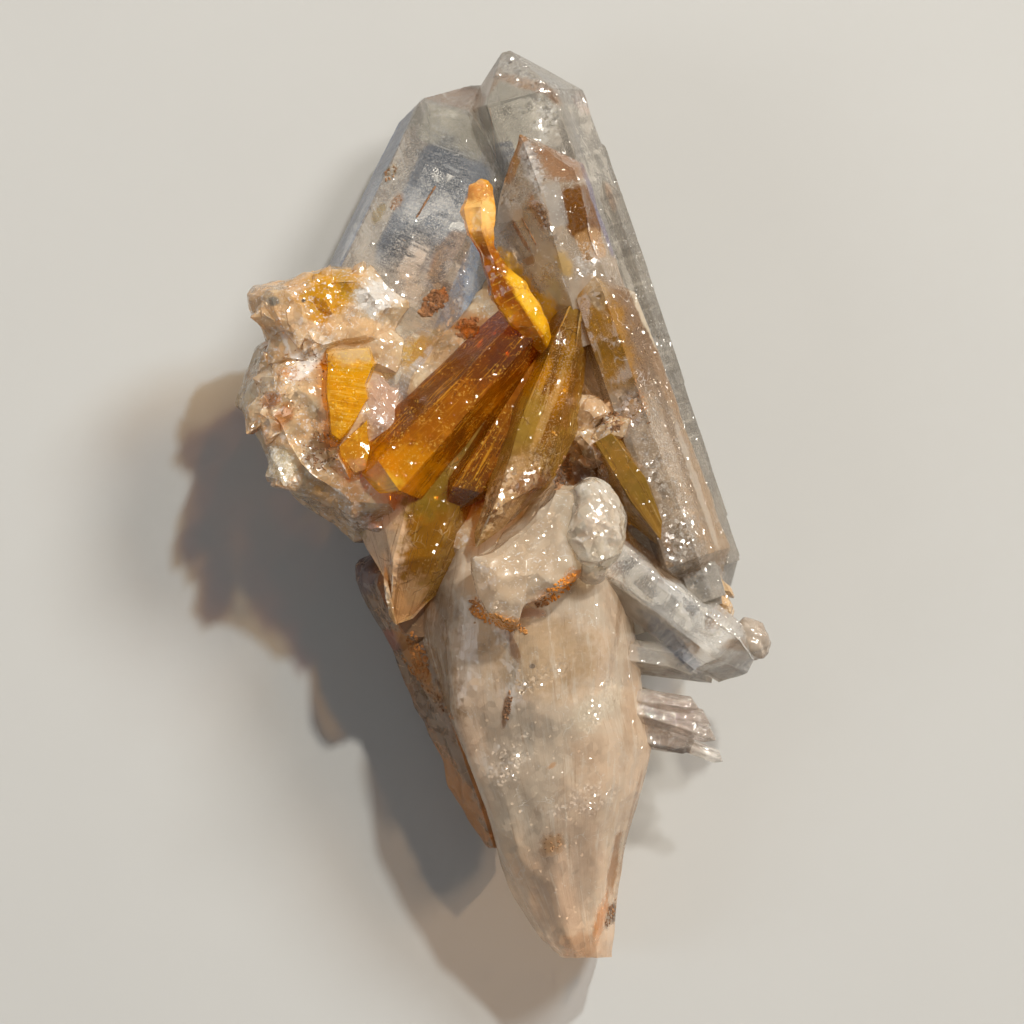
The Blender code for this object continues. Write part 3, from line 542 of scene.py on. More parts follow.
def eased(grid, turns):
    """The grid smoothed: each inner point moves half way to the mean of its four neighbours, this often."""
    for _ in range(turns):
        near = (np.roll(grid, 1, axis=1) + np.roll(grid, -1, axis=1))[1:-1] + grid[:-2] + grid[2:]
        grid = np.concatenate([grid[:1], grid[1:-1] * 0.5 + near * 0.125, grid[-1:]])
    return grid


def roughened(grid, swell, swell_grain, chip, chip_size, seed, fine=0.0, stretch=(1.0, 1.0, 1.0)):
    """The grid moved along its normals by a slow swell, scallops and fine scallops. stretch makes them
    longer along an axis."""
    flat = grid.reshape(-1, 3) / np.asarray(stretch)
    move = swell * waves(flat, swell_grain, seed, octaves=2)
    move += chip * scallops(flat, chip_size, 0.7, seed + 1)
    if fine:
        move += fine * scallops(flat, chip_size * 0.3, 0.9, seed + 2, count_limit=1500)
    move -= np.median(move)
    normal = outward(grid, grid_normals(grid))
    return grid + normal * move.reshape(grid.shape[:2] + (1,))


def lump(name, grid, material, slot, *rough, sharp=28.0, **more):
    """The piece of a grid that is roughened first: rough is the swell, its grain, the chips, their size and
    the seed."""
    return dress(skin(name, roughened(grid, *rough, **more), sharp), material)


def ball_grid(centre, half, turn, spacing):
    """A stretched ball: half sizes times (cos u sin v, sin u sin v, cos v), turned about Z."""
    size = max(half)
    u = np.linspace(0.0, 2.0 * math.pi, max(12, int(6.3 * size / spacing)), endpoint=False)
    v = np.linspace(0.03, math.pi - 0.03, max(8, int(3.2 * size / spacing)))[:, None]
    x, y = half[0] * np.cos(u) * np.sin(v), half[1] * np.sin(u) * np.sin(v)
    z = half[2] * np.cos(v) * np.ones_like(u)
    c, s = math.cos(math.radians(turn)), math.sin(math.radians(turn))
    return np.stack([x * c - y * s + centre[0], x * s + y * c + centre[1], z + centre[2]], axis=-1)


def flake_rings(centre, half, lean, seed, corners=6):
    """A broken flake: rings of a few corners at the levels of FLAKE_LEVELS. Each corner's distance is
    drawn at random, and the whole leans and turns by random angles."""
    chance = np.random.default_rng(seed)
    levels = np.array(FLAKE_LEVELS)
    angle = 2.0 * math.pi * (np.arange(corners) + chance.uniform(-0.3, 0.3, corners)) / corners
    radius = levels[:, 1:] * chance.uniform(0.62, 1.12, corners)
    radius = radius * chance.uniform(0.85, 1.1, (len(levels), corners))
    height = levels[:, :1] + chance.uniform(-0.18, 0.18, (len(levels), corners))
    places = np.stack([radius * np.cos(angle), radius * np.sin(angle), height], axis=-1) * np.array(half)
    turn, tip_x, tip_y = chance.uniform(0.0, 2.0 * math.pi), *chance.uniform(-lean, lean, 2)
    spin = np.array([[math.cos(turn), -math.sin(turn), 0.0], [math.sin(turn), math.cos(turn), 0.0],
                     [0.0, 0.0, 1.0]])
    nod = np.array([[1.0, 0.0, 0.0], [0.0, math.cos(tip_x), -math.sin(tip_x)],
                    [0.0, math.sin(tip_x), math.cos(tip_x)]])
    sway = np.array([[math.cos(tip_y), 0.0, math.sin(tip_y)], [0.0, 1.0, 0.0],
                     [-math.sin(tip_y), 0.0, math.cos(tip_y)]])
    return places @ (sway @ nod @ spin).T + np.asarray(centre)


def flake_field(outline, height, count, seed):
    """Random middles for flakes inside an outline: the square root of an even draw between the middle
    and a random place on the outline, at heights that fall a little towards the outline."""
    chance = np.random.default_rng(seed)
    ring = resampled(outline, 200)
    middle = ring.mean(axis=0)
    share = np.sqrt((np.arange(count) + chance.uniform(0.2, 0.8, count)) / count)[:, None] * 0.86
    plan = middle + (ring[chance.integers(0, len(ring), count)] - middle) * share
    level = height - 1.8 * share**3 + chance.uniform(-0.7, 0.5, (count, 1))
    return np.concatenate([plan, level], axis=1)


def ground_below(places):
    """The highest point of the specimen under each (x, y) place in millimetres, and the face's normal.
    Places with nothing under them are left out."""
    graph = bpy.context.evaluated_depsgraph_get()
    pieces = [o for o in bpy.context.scene.objects if o.type == "MESH" and o.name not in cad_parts]
    trees = [BVHTree.FromObject(piece, graph) for piece in pieces]
    found = []
    down = Vector((0.0, 0.0, -1.0))
    for x, y in places:
        hits = [tree.ray_cast(Vector((x * MM, y * MM, RAY_START)), down) for tree in trees]
        hits = [(hit[0].z, tuple(hit[0] / MM), tuple(hit[1])) for hit in hits if hit[0] is not None]
        if hits:
            found.append(max(hits)[1:])
    return np.array(found).reshape(-1, 2, 3)


def crumb_shape():
    """The corners and faces of a twenty-sided crumb of radius one."""
    gold = (1.0 + math.sqrt(5.0)) / 2.0
    corners = np.array([(-1, gold, 0), (1, gold, 0), (-1, -gold, 0), (1, -gold, 0), (0, -1, gold),
                        (0, 1, gold), (0, -1, -gold), (0, 1, -gold), (gold, 0, -1), (gold, 0, 1),
                        (-gold, 0, -1), (-gold, 0, 1)])
    faces = np.array([(0, 11, 5), (0, 5, 1), (0, 1, 7), (0, 7, 10), (0, 10, 11), (1, 5, 9), (5, 11, 4),
                      (11, 10, 2), (10, 7, 6), (7, 1, 8), (3, 9, 4), (3, 4, 2), (3, 2, 6), (3, 6, 8),
                      (3, 8, 9), (4, 9, 5), (2, 4, 11), (6, 2, 10), (8, 6, 7), (9, 8, 1)])
    return corners / np.linalg.norm(corners, axis=1)[:, None], faces


def crumbs(name, middles, normals, sizes, stretch, seed):
    """Many crumbs as one mesh: each crumb is the crumb shape with random radii, stretched along a random
    direction in its surface, flattened along the normal, and set on its place."""
    chance = np.random.default_rng(seed)
    corners, faces = crumb_shape()
    count = len(middles)
    aside = np.cross(normals, chance.normal(size=(count, 3)))
    aside /= np.linalg.norm(aside, axis=1)[:, None]
    across = np.cross(normals, aside)
    local = corners[None] * chance.uniform(0.55, 1.1, (count, len(corners), 1)) * sizes[:, None, None]
    points = (middles[:, None] + local[..., :1] * aside[:, None] * stretch[:, None, None]
              + local[..., 1:2] * across[:, None] + local[..., 2:3] * normals[:, None] * CRUMB_HEIGHT)
    points[..., 2] = np.maximum(points[..., 2], 0.0)
    every = (faces[None] + np.arange(count)[:, None, None] * len(corners)).reshape(-1, 3)
    mesh = bpy.data.meshes.new(name)
    mesh.from_pydata((points.reshape(-1, 3) * MM).tolist(), [], every.tolist())
    mesh.update()
    return placed(name, mesh)


ZERO = (0.0, 0.0, 0.0)


class Nodes:
    """Short ways to add nodes to one shader tree. What goes in is a plain value or another node's output."""

    def __init__(self, tree):
        self.tree = tree

    def fill(self, socket, value):
        """Links a socket, or gives it a plain value."""
        if isinstance(value, bpy.types.NodeSocket):
            self.tree.links.new(value, socket)
        else:
            socket.default_value = value

    def add(self, kind, inputs=None, **settings):
        """Adds a node, sets its options and fills its inputs."""
        node = self.tree.nodes.new("ShaderNode" + kind)
        for key, value in settings.items():
            setattr(node, key, value)
        for socket, value in (inputs or {}).items():
            self.fill(node.inputs[socket], value)
        return node

    def maths(self, operation, first, second=0.5):
        return self.add("Math", {0: first, 1: second}, operation=operation).outputs[0]

    def vectors(self, operation, first, second=ZERO):
        node = self.add("VectorMath", {0: first, 1: second}, operation=operation)
        return node.outputs["Value" if operation == "DOT_PRODUCT" else "Vector"]

    def scaled(self, vector, factor):
        return self.add("VectorMath", {0: vector, 3: factor}, operation="SCALE").outputs[0]

    def blend(self, share, first, second):
        """Mixes two colours by a share."""
        return self.add("Mix", {0: share, 6: first, 7: second}, data_type="RGBA",
                        clamp_factor=True).outputs[2]

    def ranged(self, value, low, high, to_low=0.0, to_high=1.0):
        """Runs smoothly from to_low to to_high while the value goes from low to high."""
        return self.add("MapRange", {0: value, 1: low, 2: high, 3: to_low, 4: to_high},
                        interpolation_type="SMOOTHSTEP").outputs[0]

    def noise(self, place, scale, detail, roughness=0.5, distortion=0.0, output=0):
        return self.add("TexNoise", {"Vector": place, "Scale": scale, "Detail": detail, "Roughness": roughness,
                                     "Distortion": distortion}).outputs[output]

    def shown(self, pattern, cover, below, above):
        """A mask of where a pattern is over 1 - cover. Its edge runs from below that value to above it."""
        edge = self.maths("SUBTRACT", 1.0, cover)
        return self.ranged(pattern, self.maths("SUBTRACT", edge, below), self.maths("ADD", edge, above))

    def turned_share(self, given):
        """A place as seen from a centre and turned about Z, and its size as shares of the reach."""
        away = self.vectors("SUBTRACT", given["Position"], given["Centre"])
        turned = self.add("VectorRotate", {"Vector": away, "Angle": given["Turn"]},
                          rotation_type="Z_AXIS").outputs[0]
        share = self.vectors("ABSOLUTE", self.vectors("DIVIDE", turned, given["Reach"]))
        return turned, self.add("SeparateXYZ", {0: share}).outputs


def new_group(name, inputs, outputs=None):
    """A shader node group. Its sockets are named with a default each, which says whether they are vectors."""
    group = bpy.data.node_groups.new(name, "ShaderNodeTree")
    for way, sockets in (("INPUT", inputs), ("OUTPUT", outputs or {"Mask": 0.0})):
        for label, default in sockets.items():
            kind = "NodeSocketVector" if isinstance(default, tuple) else "NodeSocketFloat"
            socket = group.interface.new_socket(label, in_out=way, socket_type=kind)
            if way == "INPUT":
                socket.default_value = default
    return Nodes(group), group.nodes.new("NodeGroupInput").outputs, group.nodes.new("NodeGroupOutput").inputs


AREA_INPUTS = {"Position": ZERO, "Centre": ZERO, "Reach": (0.002, 0.002, 0.1), "Turn": 0.0}


def make_patch_group(name):
    """One zone of colour, used for stains and for painted reflections, highlights, glow and shade: a column
    about a centre, oval where the corner power is 2 and squarer above it, with a ragged, soft edge."""
    nodes, given, out = new_group(name, {**AREA_INPUTS, "Raggedness": 0.35, "Noise": 0.5, "Softness": 0.25,
                                         "Corner": 2.0})
    parts = nodes.turned_share(given)[1]
    powers = [nodes.maths("POWER", part, given["Corner"]) for part in (parts[0], parts[1])]
    distance = nodes.maths("POWER", nodes.maths("ADD", *powers), nodes.maths("DIVIDE", 1.0, given["Corner"]))
    ragged = nodes.maths("MULTIPLY", nodes.maths("SUBTRACT", given["Noise"], 0.5), given["Raggedness"])
    edge = nodes.maths("ADD", distance, nodes.maths("MULTIPLY", ragged, 3.0))
    low = nodes.maths("SUBTRACT", 1.0, given["Softness"])
    high = nodes.maths("ADD", 1.0, given["Softness"])
    nodes.fill(out["Mask"], nodes.ranged(edge, low, high, 1.0, 0.0))


def make_frost_and_glints_group(name):
    """Frost and painted glints: fine ragged specks that crowd together in patches; the light ones stand for
    glints.
    """
    nodes, given, out = new_group(name, {"Position": ZERO, "Grain": 4000.0, "Cover": 0.4, "Patch": 260.0,
                                         "Spread": 0.5})
    fine = nodes.noise(given["Position"], given["Grain"], 3.0, 0.65)
    wide = nodes.noise(given["Position"], given["Patch"], 4.0, 0.6)
    specks = nodes.shown(fine, given["Cover"], 0.02, 0.06)
    nodes.fill(out["Mask"], nodes.maths("MULTIPLY", specks, nodes.shown(wide, given["Spread"], 0.08, 0.08)))


def make_cracks_group(name):
    """Healed cracks: thin lines where the cells of a bent pattern meet, broken up by noise."""
    nodes, given, out = new_group(name, {"Position": ZERO, "Grain": 500.0, "Width": 0.05, "Bend": 0.0012,
                                         "Cover": 0.5})
    bend = nodes.noise(given["Position"], 600.0, 4.0, output="Color")
    shift = nodes.scaled(nodes.vectors("SUBTRACT", bend, (0.5, 0.5, 0.5)), given["Bend"])
    place = nodes.vectors("ADD", given["Position"], shift)
    edge = nodes.add("TexVoronoi", {"Vector": place, "Scale": given["Grain"]}, feature="DISTANCE_TO_EDGE")
    line = nodes.ranged(edge.outputs["Distance"], 0.0, given["Width"], 1.0, 0.0)
    gaps = nodes.shown(nodes.noise(given["Position"], 320.0, 3.0), given["Cover"], 0.06, 0.06)
    nodes.fill(out["Mask"], nodes.maths("MULTIPLY", line, gaps))


def make_cloud_group(name):
    """Milky clouds: fractal noise over a threshold, with a soft edge."""
    nodes, given, out = new_group(name, {"Position": ZERO, "Grain": 250.0, "Cover": 0.5, "Softness": 0.12})
    noise = nodes.noise(given["Position"], given["Grain"], 6.0, 0.62, 0.6)
    nodes.fill(out["Mask"], nodes.shown(noise, given["Cover"], given["Softness"], given["Softness"]))


def make_lines_group(name):
    """Growth lines from a crystal's own map: noise that is stretched round or along the crystal."""
    nodes, given, out = new_group(name, {"Growth": ZERO, "Round": 0.6, "Along": 12.0, "Cover": 0.4},
                                  {"Height": 0.0, "Mask": 0.0})
    scale = nodes.add("CombineXYZ", {"X": given["Round"], "Y": given["Along"]}).outputs[0]
    noise = nodes.noise(nodes.vectors("MULTIPLY", given["Growth"], scale), 1.0, 5.0, 0.7)
    nodes.fill(out["Height"], noise)
    nodes.fill(out["Mask"], nodes.shown(noise, given["Cover"], 0.06, 0.06))


def make_ladder_group(name):
    """A ladder of growth steps: thin rungs of uneven length that lie across a turned rectangle."""
    nodes, given, out = new_group(name, {**AREA_INPUTS, "Pitch": 1800.0, "Cover": 0.45})
    turned, parts = nodes.turned_share(given)
    inside = nodes.ranged(nodes.maths("MAXIMUM", parts[0], parts[1]), 0.75, 1.0, 1.0, 0.0)
    length = nodes.maths("MULTIPLY", given["Pitch"], 0.08)
    scale = nodes.add("CombineXYZ", {"X": given["Pitch"], "Y": length}).outputs[0]
    noise = nodes.noise(nodes.vectors("MULTIPLY", turned, scale), 1.0, 2.0, 0.6)
    nodes.fill(out["Mask"], nodes.maths("MULTIPLY", inside, nodes.shown(noise, given["Cover"], 0.03, 0.03)))


def make_facets_group(name):
    """Broken grain: each cell is a flat of its own shade and tilt, from -0.5 to 0.5 on each axis."""
    nodes, given, out = new_group(name, {"Position": ZERO, "Grain": 900.0}, {"Tilt": ZERO, "Shade": 0.0})
    cells = nodes.add("TexVoronoi", {"Vector": given["Position"], "Scale": given["Grain"]}).outputs["Color"]
    nodes.fill(out["Tilt"], nodes.vectors("SUBTRACT", cells, (0.5, 0.5, 0.5)))
    nodes.fill(out["Shade"], nodes.add("SeparateColor", {0: cells}).outputs[2])


# The shared node groups: the name in the file, and what makes it.
GROUPS = {
    "patch": ("Stained zone", make_patch_group), "ladder": ("Growth ladder", make_ladder_group),
    "cloud": ("Milky cloud", make_cloud_group), "lines": ("Growth lines", make_lines_group),
    "facets": ("Broken facets", make_facets_group), "cracks": ("Crack lines", make_cracks_group),
    "frost": ("Frost", make_frost_and_glints_group),
}


def shared_group(kind):
    """A shared node group, made when it is first asked for."""
    name, make = GROUPS[kind]
    if name not in bpy.data.node_groups:
        make(name)
    return bpy.data.node_groups[name]


class Finish(Nodes):
    """One quartz material as it is built: its colour, roughness and height so far, and its nodes."""

    def __init__(self, name, colour, roughness=0.06, see_through=0.9, absorbs=None, density=0.0,
                 lamp_tint=0.7):
        self.material = bpy.data.materials.new(name)
        self.material.use_nodes = True
        super().__init__(self.material.node_tree)
        self.shader = self.tree.nodes["Principled BSDF"]
        self.shader.inputs["IOR"].default_value = QUARTZ_IOR
        self.shader.inputs["Metallic"].default_value = 0.0
        self.shader.inputs["Transmission Weight"].default_value = see_through
        places = self.add("TexCoord").outputs
        self.position = places["Object"]
        self.lit = self.ranged(self.vectors("DOT_PRODUCT", places["Normal"], LAMP_WAY), 0.45, 0.8)
        self.growth = self.scaled(self.add("UVMap", uv_map=UV_NAME).outputs[0], UV_UNIT)
        self.edge_noise = self.noise(self.position, EDGE_GRAIN, 4.0, 0.6)
        self.mottle = self.ranged(self.noise(self.position, MOTTLE_GRAIN, 3.0, 0.7), 0.3, 0.6, 0.84, 1.0)
        self.exponent = 1.0 - 0.5 * see_through
        self.plain = self.tint(colour)
        self.colour = self.plain
        self.roughness = roughness
        self.height = None
        self.lean = None
        self.facing = []
        self.lamp_tint = lamp_tint
        if density:
            tank = self.add("VolumeAbsorption", {"Color": tone(absorbs) + (1.0,), "Density": density})
            self.fill(self.tree.nodes["Material Output"].inputs["Volume"], tank.outputs[0])

    def tint(self, colour):
        """The socket colour that is seen as this one: light passes a see-through face twice, so the seen
        colour is raised to less than one."""
        seen = tone(colour) if isinstance(colour, str) else colour
        return tuple(part**self.exponent for part in seen) + (1.0,)

    def group(self, kind, **inputs):
        node = self.add("Group")
        node.node_tree = shared_group(kind)
        for label, value in inputs.items():
            self.fill(node.inputs[label], value)
        return node.outputs

    def pattern(self, kind, **inputs):
        """A shared group's outputs at the places of the object."""
        return self.group(kind, Position=self.position, **inputs)

    def area(self, x, y, length, width, turn, kind="patch", **inputs):
        """The mask of a place of the plan, by half sizes in millimetres; turn is in degrees from +X."""
        return self.pattern(kind, Centre=(x * MM, y * MM, 0.0), Reach=(length * MM, width * MM, 1.0),
                            Turn=math.radians(-turn), **inputs)["Mask"]

    def oval(self, row, ragged, soft, corner=2.0):
        """The mask of a zone with a ragged edge: x, y, half length, half width and turn."""
        return self.area(*row, Corner=corner, Raggedness=ragged, Noise=self.edge_noise, Softness=soft)

    def roughen(self, mask, roughness):
        self.roughness = self.add("Mix", {0: mask, 2: self.roughness, 3: roughness}).outputs[0]

    def over(self, mask, colour, strength=1.0, roughness=None):
        """Lays a colour, and a roughness if given, over what is there by a mask."""
        if strength != 1.0:
            mask = self.maths("MULTIPLY", mask, strength)
        self.colour = self.blend(mask, self.colour, self.tint(colour))
        if roughness is not None:
            self.roughen(mask, roughness)
        return self

    def cloud(self, colour, grain, cover, strength=0.7, roughness=None):
        mask = self.pattern("cloud", Grain=grain, Cover=cover)["Mask"]
        return self.over(mask, colour, strength, roughness)

    def zones(self, table, corner=2.0, ragged=0.55, soft=0.35):
        """Coloured zones: rows of x, y, half length, half width, turn, colour, strength and roughness."""
        for row in table:
            mask = self.oval(row[:5], ragged, soft, corner)
            self.over(self.maths("MULTIPLY", mask, self.mottle), *row[5:])
        return self

    def faces(self, table):
        """Zones with straight, crisp sides, as a crystal's own faces have; here they paint the reflections
        that those faces show.
        """
        return self.zones(table, corner=7.0, ragged=0.05, soft=0.06)

    def lines(self, colour, round_scale, along, cover=0.4, strength=0.5, height=0.0):
        """Growth lines: scales are waves for each millimetre round and along the crystal, and height is the
        bump in millimetres."""
        made = self.group("lines", Growth=self.growth, Round=round_scale, Along=along, Cover=cover)
        self.over(made["Mask"], colour, strength)
        if height:
            part = self.maths("MULTIPLY", made["Height"], height)
            self.height = part if self.height is None else self.maths("ADD", self.height, part)
        return self

    # Frost specks, whose light colours are painted glints.
    def frost(self, colour=WHITE, grain=3400.0, cover=0.4, patch=420.0, spread=0.46, strength=0.9,
              roughness=None):
        mask = self.pattern("frost", Grain=grain, Cover=cover, Patch=patch, Spread=spread)["Mask"]
        return self.over(mask, colour, strength, roughness)

    def sparkle(self, table, colour=WHITE, strength=0.9, roughness=0.2):
        """Fine specks inside ovals: rows of x, y, half length, half width and turn."""
        specks = self.pattern("frost", Grain=5600.0, Cover=0.46, Patch=700.0, Spread=0.62)["Mask"]
        for row in table:
            self.over(self.maths("MULTIPLY", self.oval(row, 1.0, 0.6), specks), colour, strength, roughness)
        return self

    def crushed(self, table, grain=2600.0, tilt=0.9, colour=WHITE, strength=0.5, share=0.25):
        """Shiny broken grain inside ovals: rows of x, y, half length, half width and turn. A share of the
        flats faces the lamps."""
        made = self.pattern("facets", Grain=grain)
        area = self.oval(table[0], 1.2, 0.4)
        for row in table[1:]:
            area = self.maths("MAXIMUM", area, self.oval(row, 1.2, 0.4))
        self.roughen(area, SHINE)
        self.over(self.maths("MULTIPLY", area, made["Shade"]), colour, strength)
        self.lean_by(made["Tilt"], self.maths("MULTIPLY", area, tilt))
        return self.face_lamps(made, area, share)

    def face_lamps(self, made, area, share):
        """Turns a share of a grain's flats to the lamps, with some scatter, inside an area. A face that
        the lamps don't see keeps its own."""
        picked = self.ranged(made["Shade"], 1.0 - share, 1.02 - share)
        mask = self.maths("MULTIPLY", self.maths("MULTIPLY", picked, area), self.lit)
        scatter = self.scaled(made["Tilt"], GLINT_SCATTER)
        self.roughen(mask, SHINE)
        self.facing.append((mask, self.vectors("ADD", scatter, LAMP_WAY)))
        return self

    def glints(self, grain=4200.0, share=0.12, low=0.46, high=0.6):
        """Small flats here and there that catch the lamps: a share of the cells of a fine grain, in the
        places where the edge noise is over its low mark."""
        made = self.pattern("facets", Grain=grain)
        return self.face_lamps(made, self.ranged(self.edge_noise, low, high), share)

    def ladders(self, table):
        """Ladders of growth steps: x, y, half length, half width, turn, rungs for each metre, the share
        they cover, colour and strength."""
        for row in table:
            self.over(self.area(*row[:5], kind="ladder", Pitch=row[5], Cover=row[6]), *row[7:])
        return self

    def facets(self, grain, tilt, colour=None, strength=0.4):
        """Broken faces whose slope is about half of tilt, and some of them in a colour if one is given."""
        made = self.pattern("facets", Grain=grain)
        if colour is not None:
            self.over(made["Shade"], colour, strength)
        return self.lean_by(made["Tilt"], tilt)

    def cracks(self, colour=WHITE, grain=420.0, width=0.02, cover=0.42, strength=0.6, roughness=None,
               bend=0.0012):
        mask = self.pattern("cracks", Grain=grain, Width=width, Bend=bend, Cover=cover)["Mask"]
        return self.over(mask, colour, strength, roughness)

    def lean_by(self, tilt, share):
        """Adds a share of a tilt to what the faces lean by."""
        part = self.scaled(tilt, share)
        self.lean = part if self.lean is None else self.vectors("ADD", self.lean, part)
        return self

    def in_world(self, way):
        return self.add("VectorTransform", {0: way}, vector_type="VECTOR", convert_from="OBJECT",
                        convert_to="WORLD").outputs[0]

    def done(self):
        """Wires the colour, roughness and bump, and lets lamps through to what is behind the crystal."""
        inputs = self.shader.inputs
        self.fill(inputs["Base Color"], self.colour)
        self.fill(inputs["Roughness"], self.roughness)
        bump = self.add("Bump", {"Distance": MM, "Strength": 1.0})
        if self.height is not None:
            self.fill(bump.inputs["Height"], self.height)
        normal = bump.outputs[0]
        if self.lean is not None:
            normal = self.vectors("NORMALIZE", self.vectors("ADD", normal, self.in_world(self.lean)))
        for mask, way in self.facing:
            mix = self.add("Mix", {0: mask, 4: normal, 5: self.in_world(way)}, data_type="VECTOR")
            normal = self.vectors("NORMALIZE", mix.outputs[1])
        self.fill(inputs["Normal"], normal)
        if self.lamp_tint:
            way = self.add("LightPath").outputs["Is Shadow Ray"]
            tint = tuple(self.lamp_tint * c**0.6 for c in self.plain[:3]) + (1.0,)
            clear = self.add("BsdfTransparent", {"Color": tint})
            mixed = self.add("MixShader", {0: way, 1: self.shader.outputs[0], 2: clear.outputs[0]})
            self.fill(self.tree.nodes["Material Output"].inputs["Surface"], mixed.outputs[0])
        return self.material


class SpecimenSizes(bpy.types.PropertyGroup):
    striae: FloatProperty(name="Growth line depth", description="Depth of the clear faces' growth lines",
                          default=0.00001, min=0.0, max=0.001, unit="LENGTH", precision=6)
    grid: FloatProperty(name="Grid spacing", description="Distance between the points of a crystal's skin",
                        default=0.0004, min=0.0001, max=0.002, unit="LENGTH", precision=5)
    floor_side: FloatProperty(name="Floor side", description="Side of the square floor", default=3.0, min=0.5,
                              unit="LENGTH")


def colour_property(label, what, value):
    return FloatVectorProperty(name=label, description=what, subtype="COLOR", size=3, min=0.0, max=1.0,
                               default=value)


class SpecimenColours(bpy.types.PropertyGroup):
    clear: colour_property("Clear quartz", "Colour of the clear points", tone("aca498"))
    amber: colour_property("Amber", "Colour of the amber crystals", tone("8c4000"))
    gold: colour_property("Gold", "Colour of the brightest citrine", tone("dc9204"))
    olive: colour_property("Olive", "Colour of the olive-brown crystals", tone("8e621e"))
    milky: colour_property("Milky quartz", "Colour of the milky tail", tone("debc9a"))
    # Smoky brown that is dark also as painted shade of the slab and band on the shaded left side.
    smoky: colour_property("Smoky quartz and painted shade", "Colour of the dark slab behind the tail", tone("7e5e42"))
    iron: colour_property("Iron crust", "Colour of the rusty crumbs and needles", tone("745032"))
    floor: colour_property("Floor", "Colour of the floor", tone("bebdba"))


def colours():
    return bpy.context.scene.specimen_colours


# Coloured zones: x, y, half length, half width, turn from +X in degrees, colour, strength and roughness. Most
# are stains in the stone; the marked rows paint reflections, highlights, glow and shade.
# Painted reflections: the great point's faces painted in the flat grey-beige and darker tones that they
# mirror, with crisp sides.
GREAT_PAINTED_REFLECTIONS = (
    (12.8, 23.1, 24, 2, 108.3, "968e82", 0.9, 0.05),
    (4.4, 42.4, 7, 4.2, -40, "b0a698", 0.9, 0.08),
    (0.6, 38.9, 3.2, 2.3, 80, "a6a090", 0.85, 0.06),
    (0.3, 34.6, 1.7, 1.1, 100, "565c68", 0.9, 0.04),
    (-1.9, 42, 2.6, 1.1, 55, "a07e64", 0.85, 0.08),
)
GREAT_ZONES = (
    (16.5, 2, 9, 3.2, 112, "cebea8", 0.6, 0.2),
    (4.2, 38.8, 2.6, 1.6, 80, "cec4ae", 0.9, 0.2),
    (1.3, 43.9, 1.9, 1.5, -20, "c4baac", 0.9, 0.25),
    (2.6, 42.1, 3, 0.55, -18, "b0764c", 0.95, 0.2),
    (5, 41, 1.4, 0.5, -50, "b0764c", 0.9, 0.2),
    (8.1, 40.4, 1.3, 0.7, -50, "be8e78", 0.85, 0.1),
    (10.8, 31, 1.6, 0.3, 106, "c8a082", 0.7, 0.1),
)
# Painted reflections: the left point's faces painted in the flat grey-beige, blue-grey and blue tones that
# they mirror, with crisp sides.
LEFT_PAINTED_REFLECTIONS = (
    (-11.8, 30, 8.6, 1.5, 64.5, "cebcaa", 0.9, 0.12),
    (-6.9, 29, 6.9, 3.8, 65, "8c96a8", 0.95, 0.05),
    (-4.8, 37.4, 2, 3.4, 68, "d6ceb8", 0.95, 0.06),
    (-4.6, 41.2, 1.2, 4, 74, "aa8874", 0.85, 0.08),
    (-13.7, 31.6, 10, 1.1, 65, "a8bee8", 0.95, 0.05),
    (-3.6, 21.4, 5.6, 1.5, 66, "96beff", 1, 0.05),
)
GREAT_LADDERS = (
    (12.8, 23.1, 22, 1.8, 108.3, 700, 0.44, "6e665c", 0.4),
    (13.4, 21, 20, 1.4, 108.3, 1500, 0.4, "e2d8c8", 0.5),
    (0.8, 38.4, 3, 2.6, 100, 900, 0.42, "c8c2b0", 0.5),
)
GREAT_SPARKLES = (
    (4.2, 38.8, 2.4, 1.5, 80), (1.3, 43.6, 1.9, 1.4, -20), (6.4, 41, 2.4, 0.7, -35), (17.4, 0, 7, 2.2, 108),
)
GREAT_CRUSHED = (
    (4.2, 38.6, 2.4, 1.3, 75), (1, 43.8, 1.7, 1.3, -20), (3.6, 42, 2.8, 0.6, -20), (1.6, 44.2, 1.6, 1, -40),
    (7.9, 40.6, 1.2, 0.6, -50), (17.8, -1, 7, 2, 108), (16.4, 12, 6, 0.5, 108),
)
LEFT_CRUSHED = (
    (-10.8, 21.4, 2.6, 1.6, 40), (-3.8, 24.4, 1.4, 0.7, 60), (-5.4, 18, 3.2, 0.5, 62),
    (-11.4, 32.9, 0.8, 0.5, 64),
)
CITRINE_CRUSHED = (
    (3.2, 33.4, 2.8, 0.8, -72), (6, 35.6, 2.4, 0.5, -25), (0.9, 30.6, 1.3, 0.8, 30),
    (8.6, 24.4, 1.5, 1, 60), (4.6, 28, 2.2, 0.4, -64),
)
BROWN_CRUSHED = (
    (9, 21.6, 1.6, 0.7, 105), (17.4, -3, 3.4, 1.8, 110), (15.6, 2.4, 3, 0.9, 112),
    (12.6, 10, 1.6, 0.9, 110),
)
OLIVE_CRUSHED = ((-0.6, 0.2, 3.6, 1.1, 65), (3, 3, 1.8, 1.1, 30), (-11.6, -8.4, 2.4, 0.8, 80))
TAIL_CRUSHED = (
    (0.7, -25.9, 2.6, 1.4, 60), (8.3, -29.3, 3, 1.3, 20), (9.6, -19.6, 2.6, 1.3, 60),
    (4.6, -16.6, 3, 0.9, 30),
)
LEFT_LADDERS = (
    (-6.9, 28, 5.6, 3, 64, 1100, 0.4, "464c5a", 0.6),
    # Painted highlights: white rungs on the growth steps, in the next two rows.
    (-8.8, 24.7, 1.9, 1.1, 64, 2000, 0.54, "ffffff", 1),
    (-7.8, 14.6, 1.8, 0.6, 47, 1300, 0.55, "ffffff", 1),
    (-5.4, 33, 1.4, 1, 64, 1900, 0.42, "ecf0f6", 0.8),
)
LEFT_SPARKLES = ((-6.6, 29.4, 6.4, 3.4, 65), (-4.4, 21.6, 4.6, 1.4, 66), (-10.6, 20.6, 3.4, 2.4, 50))
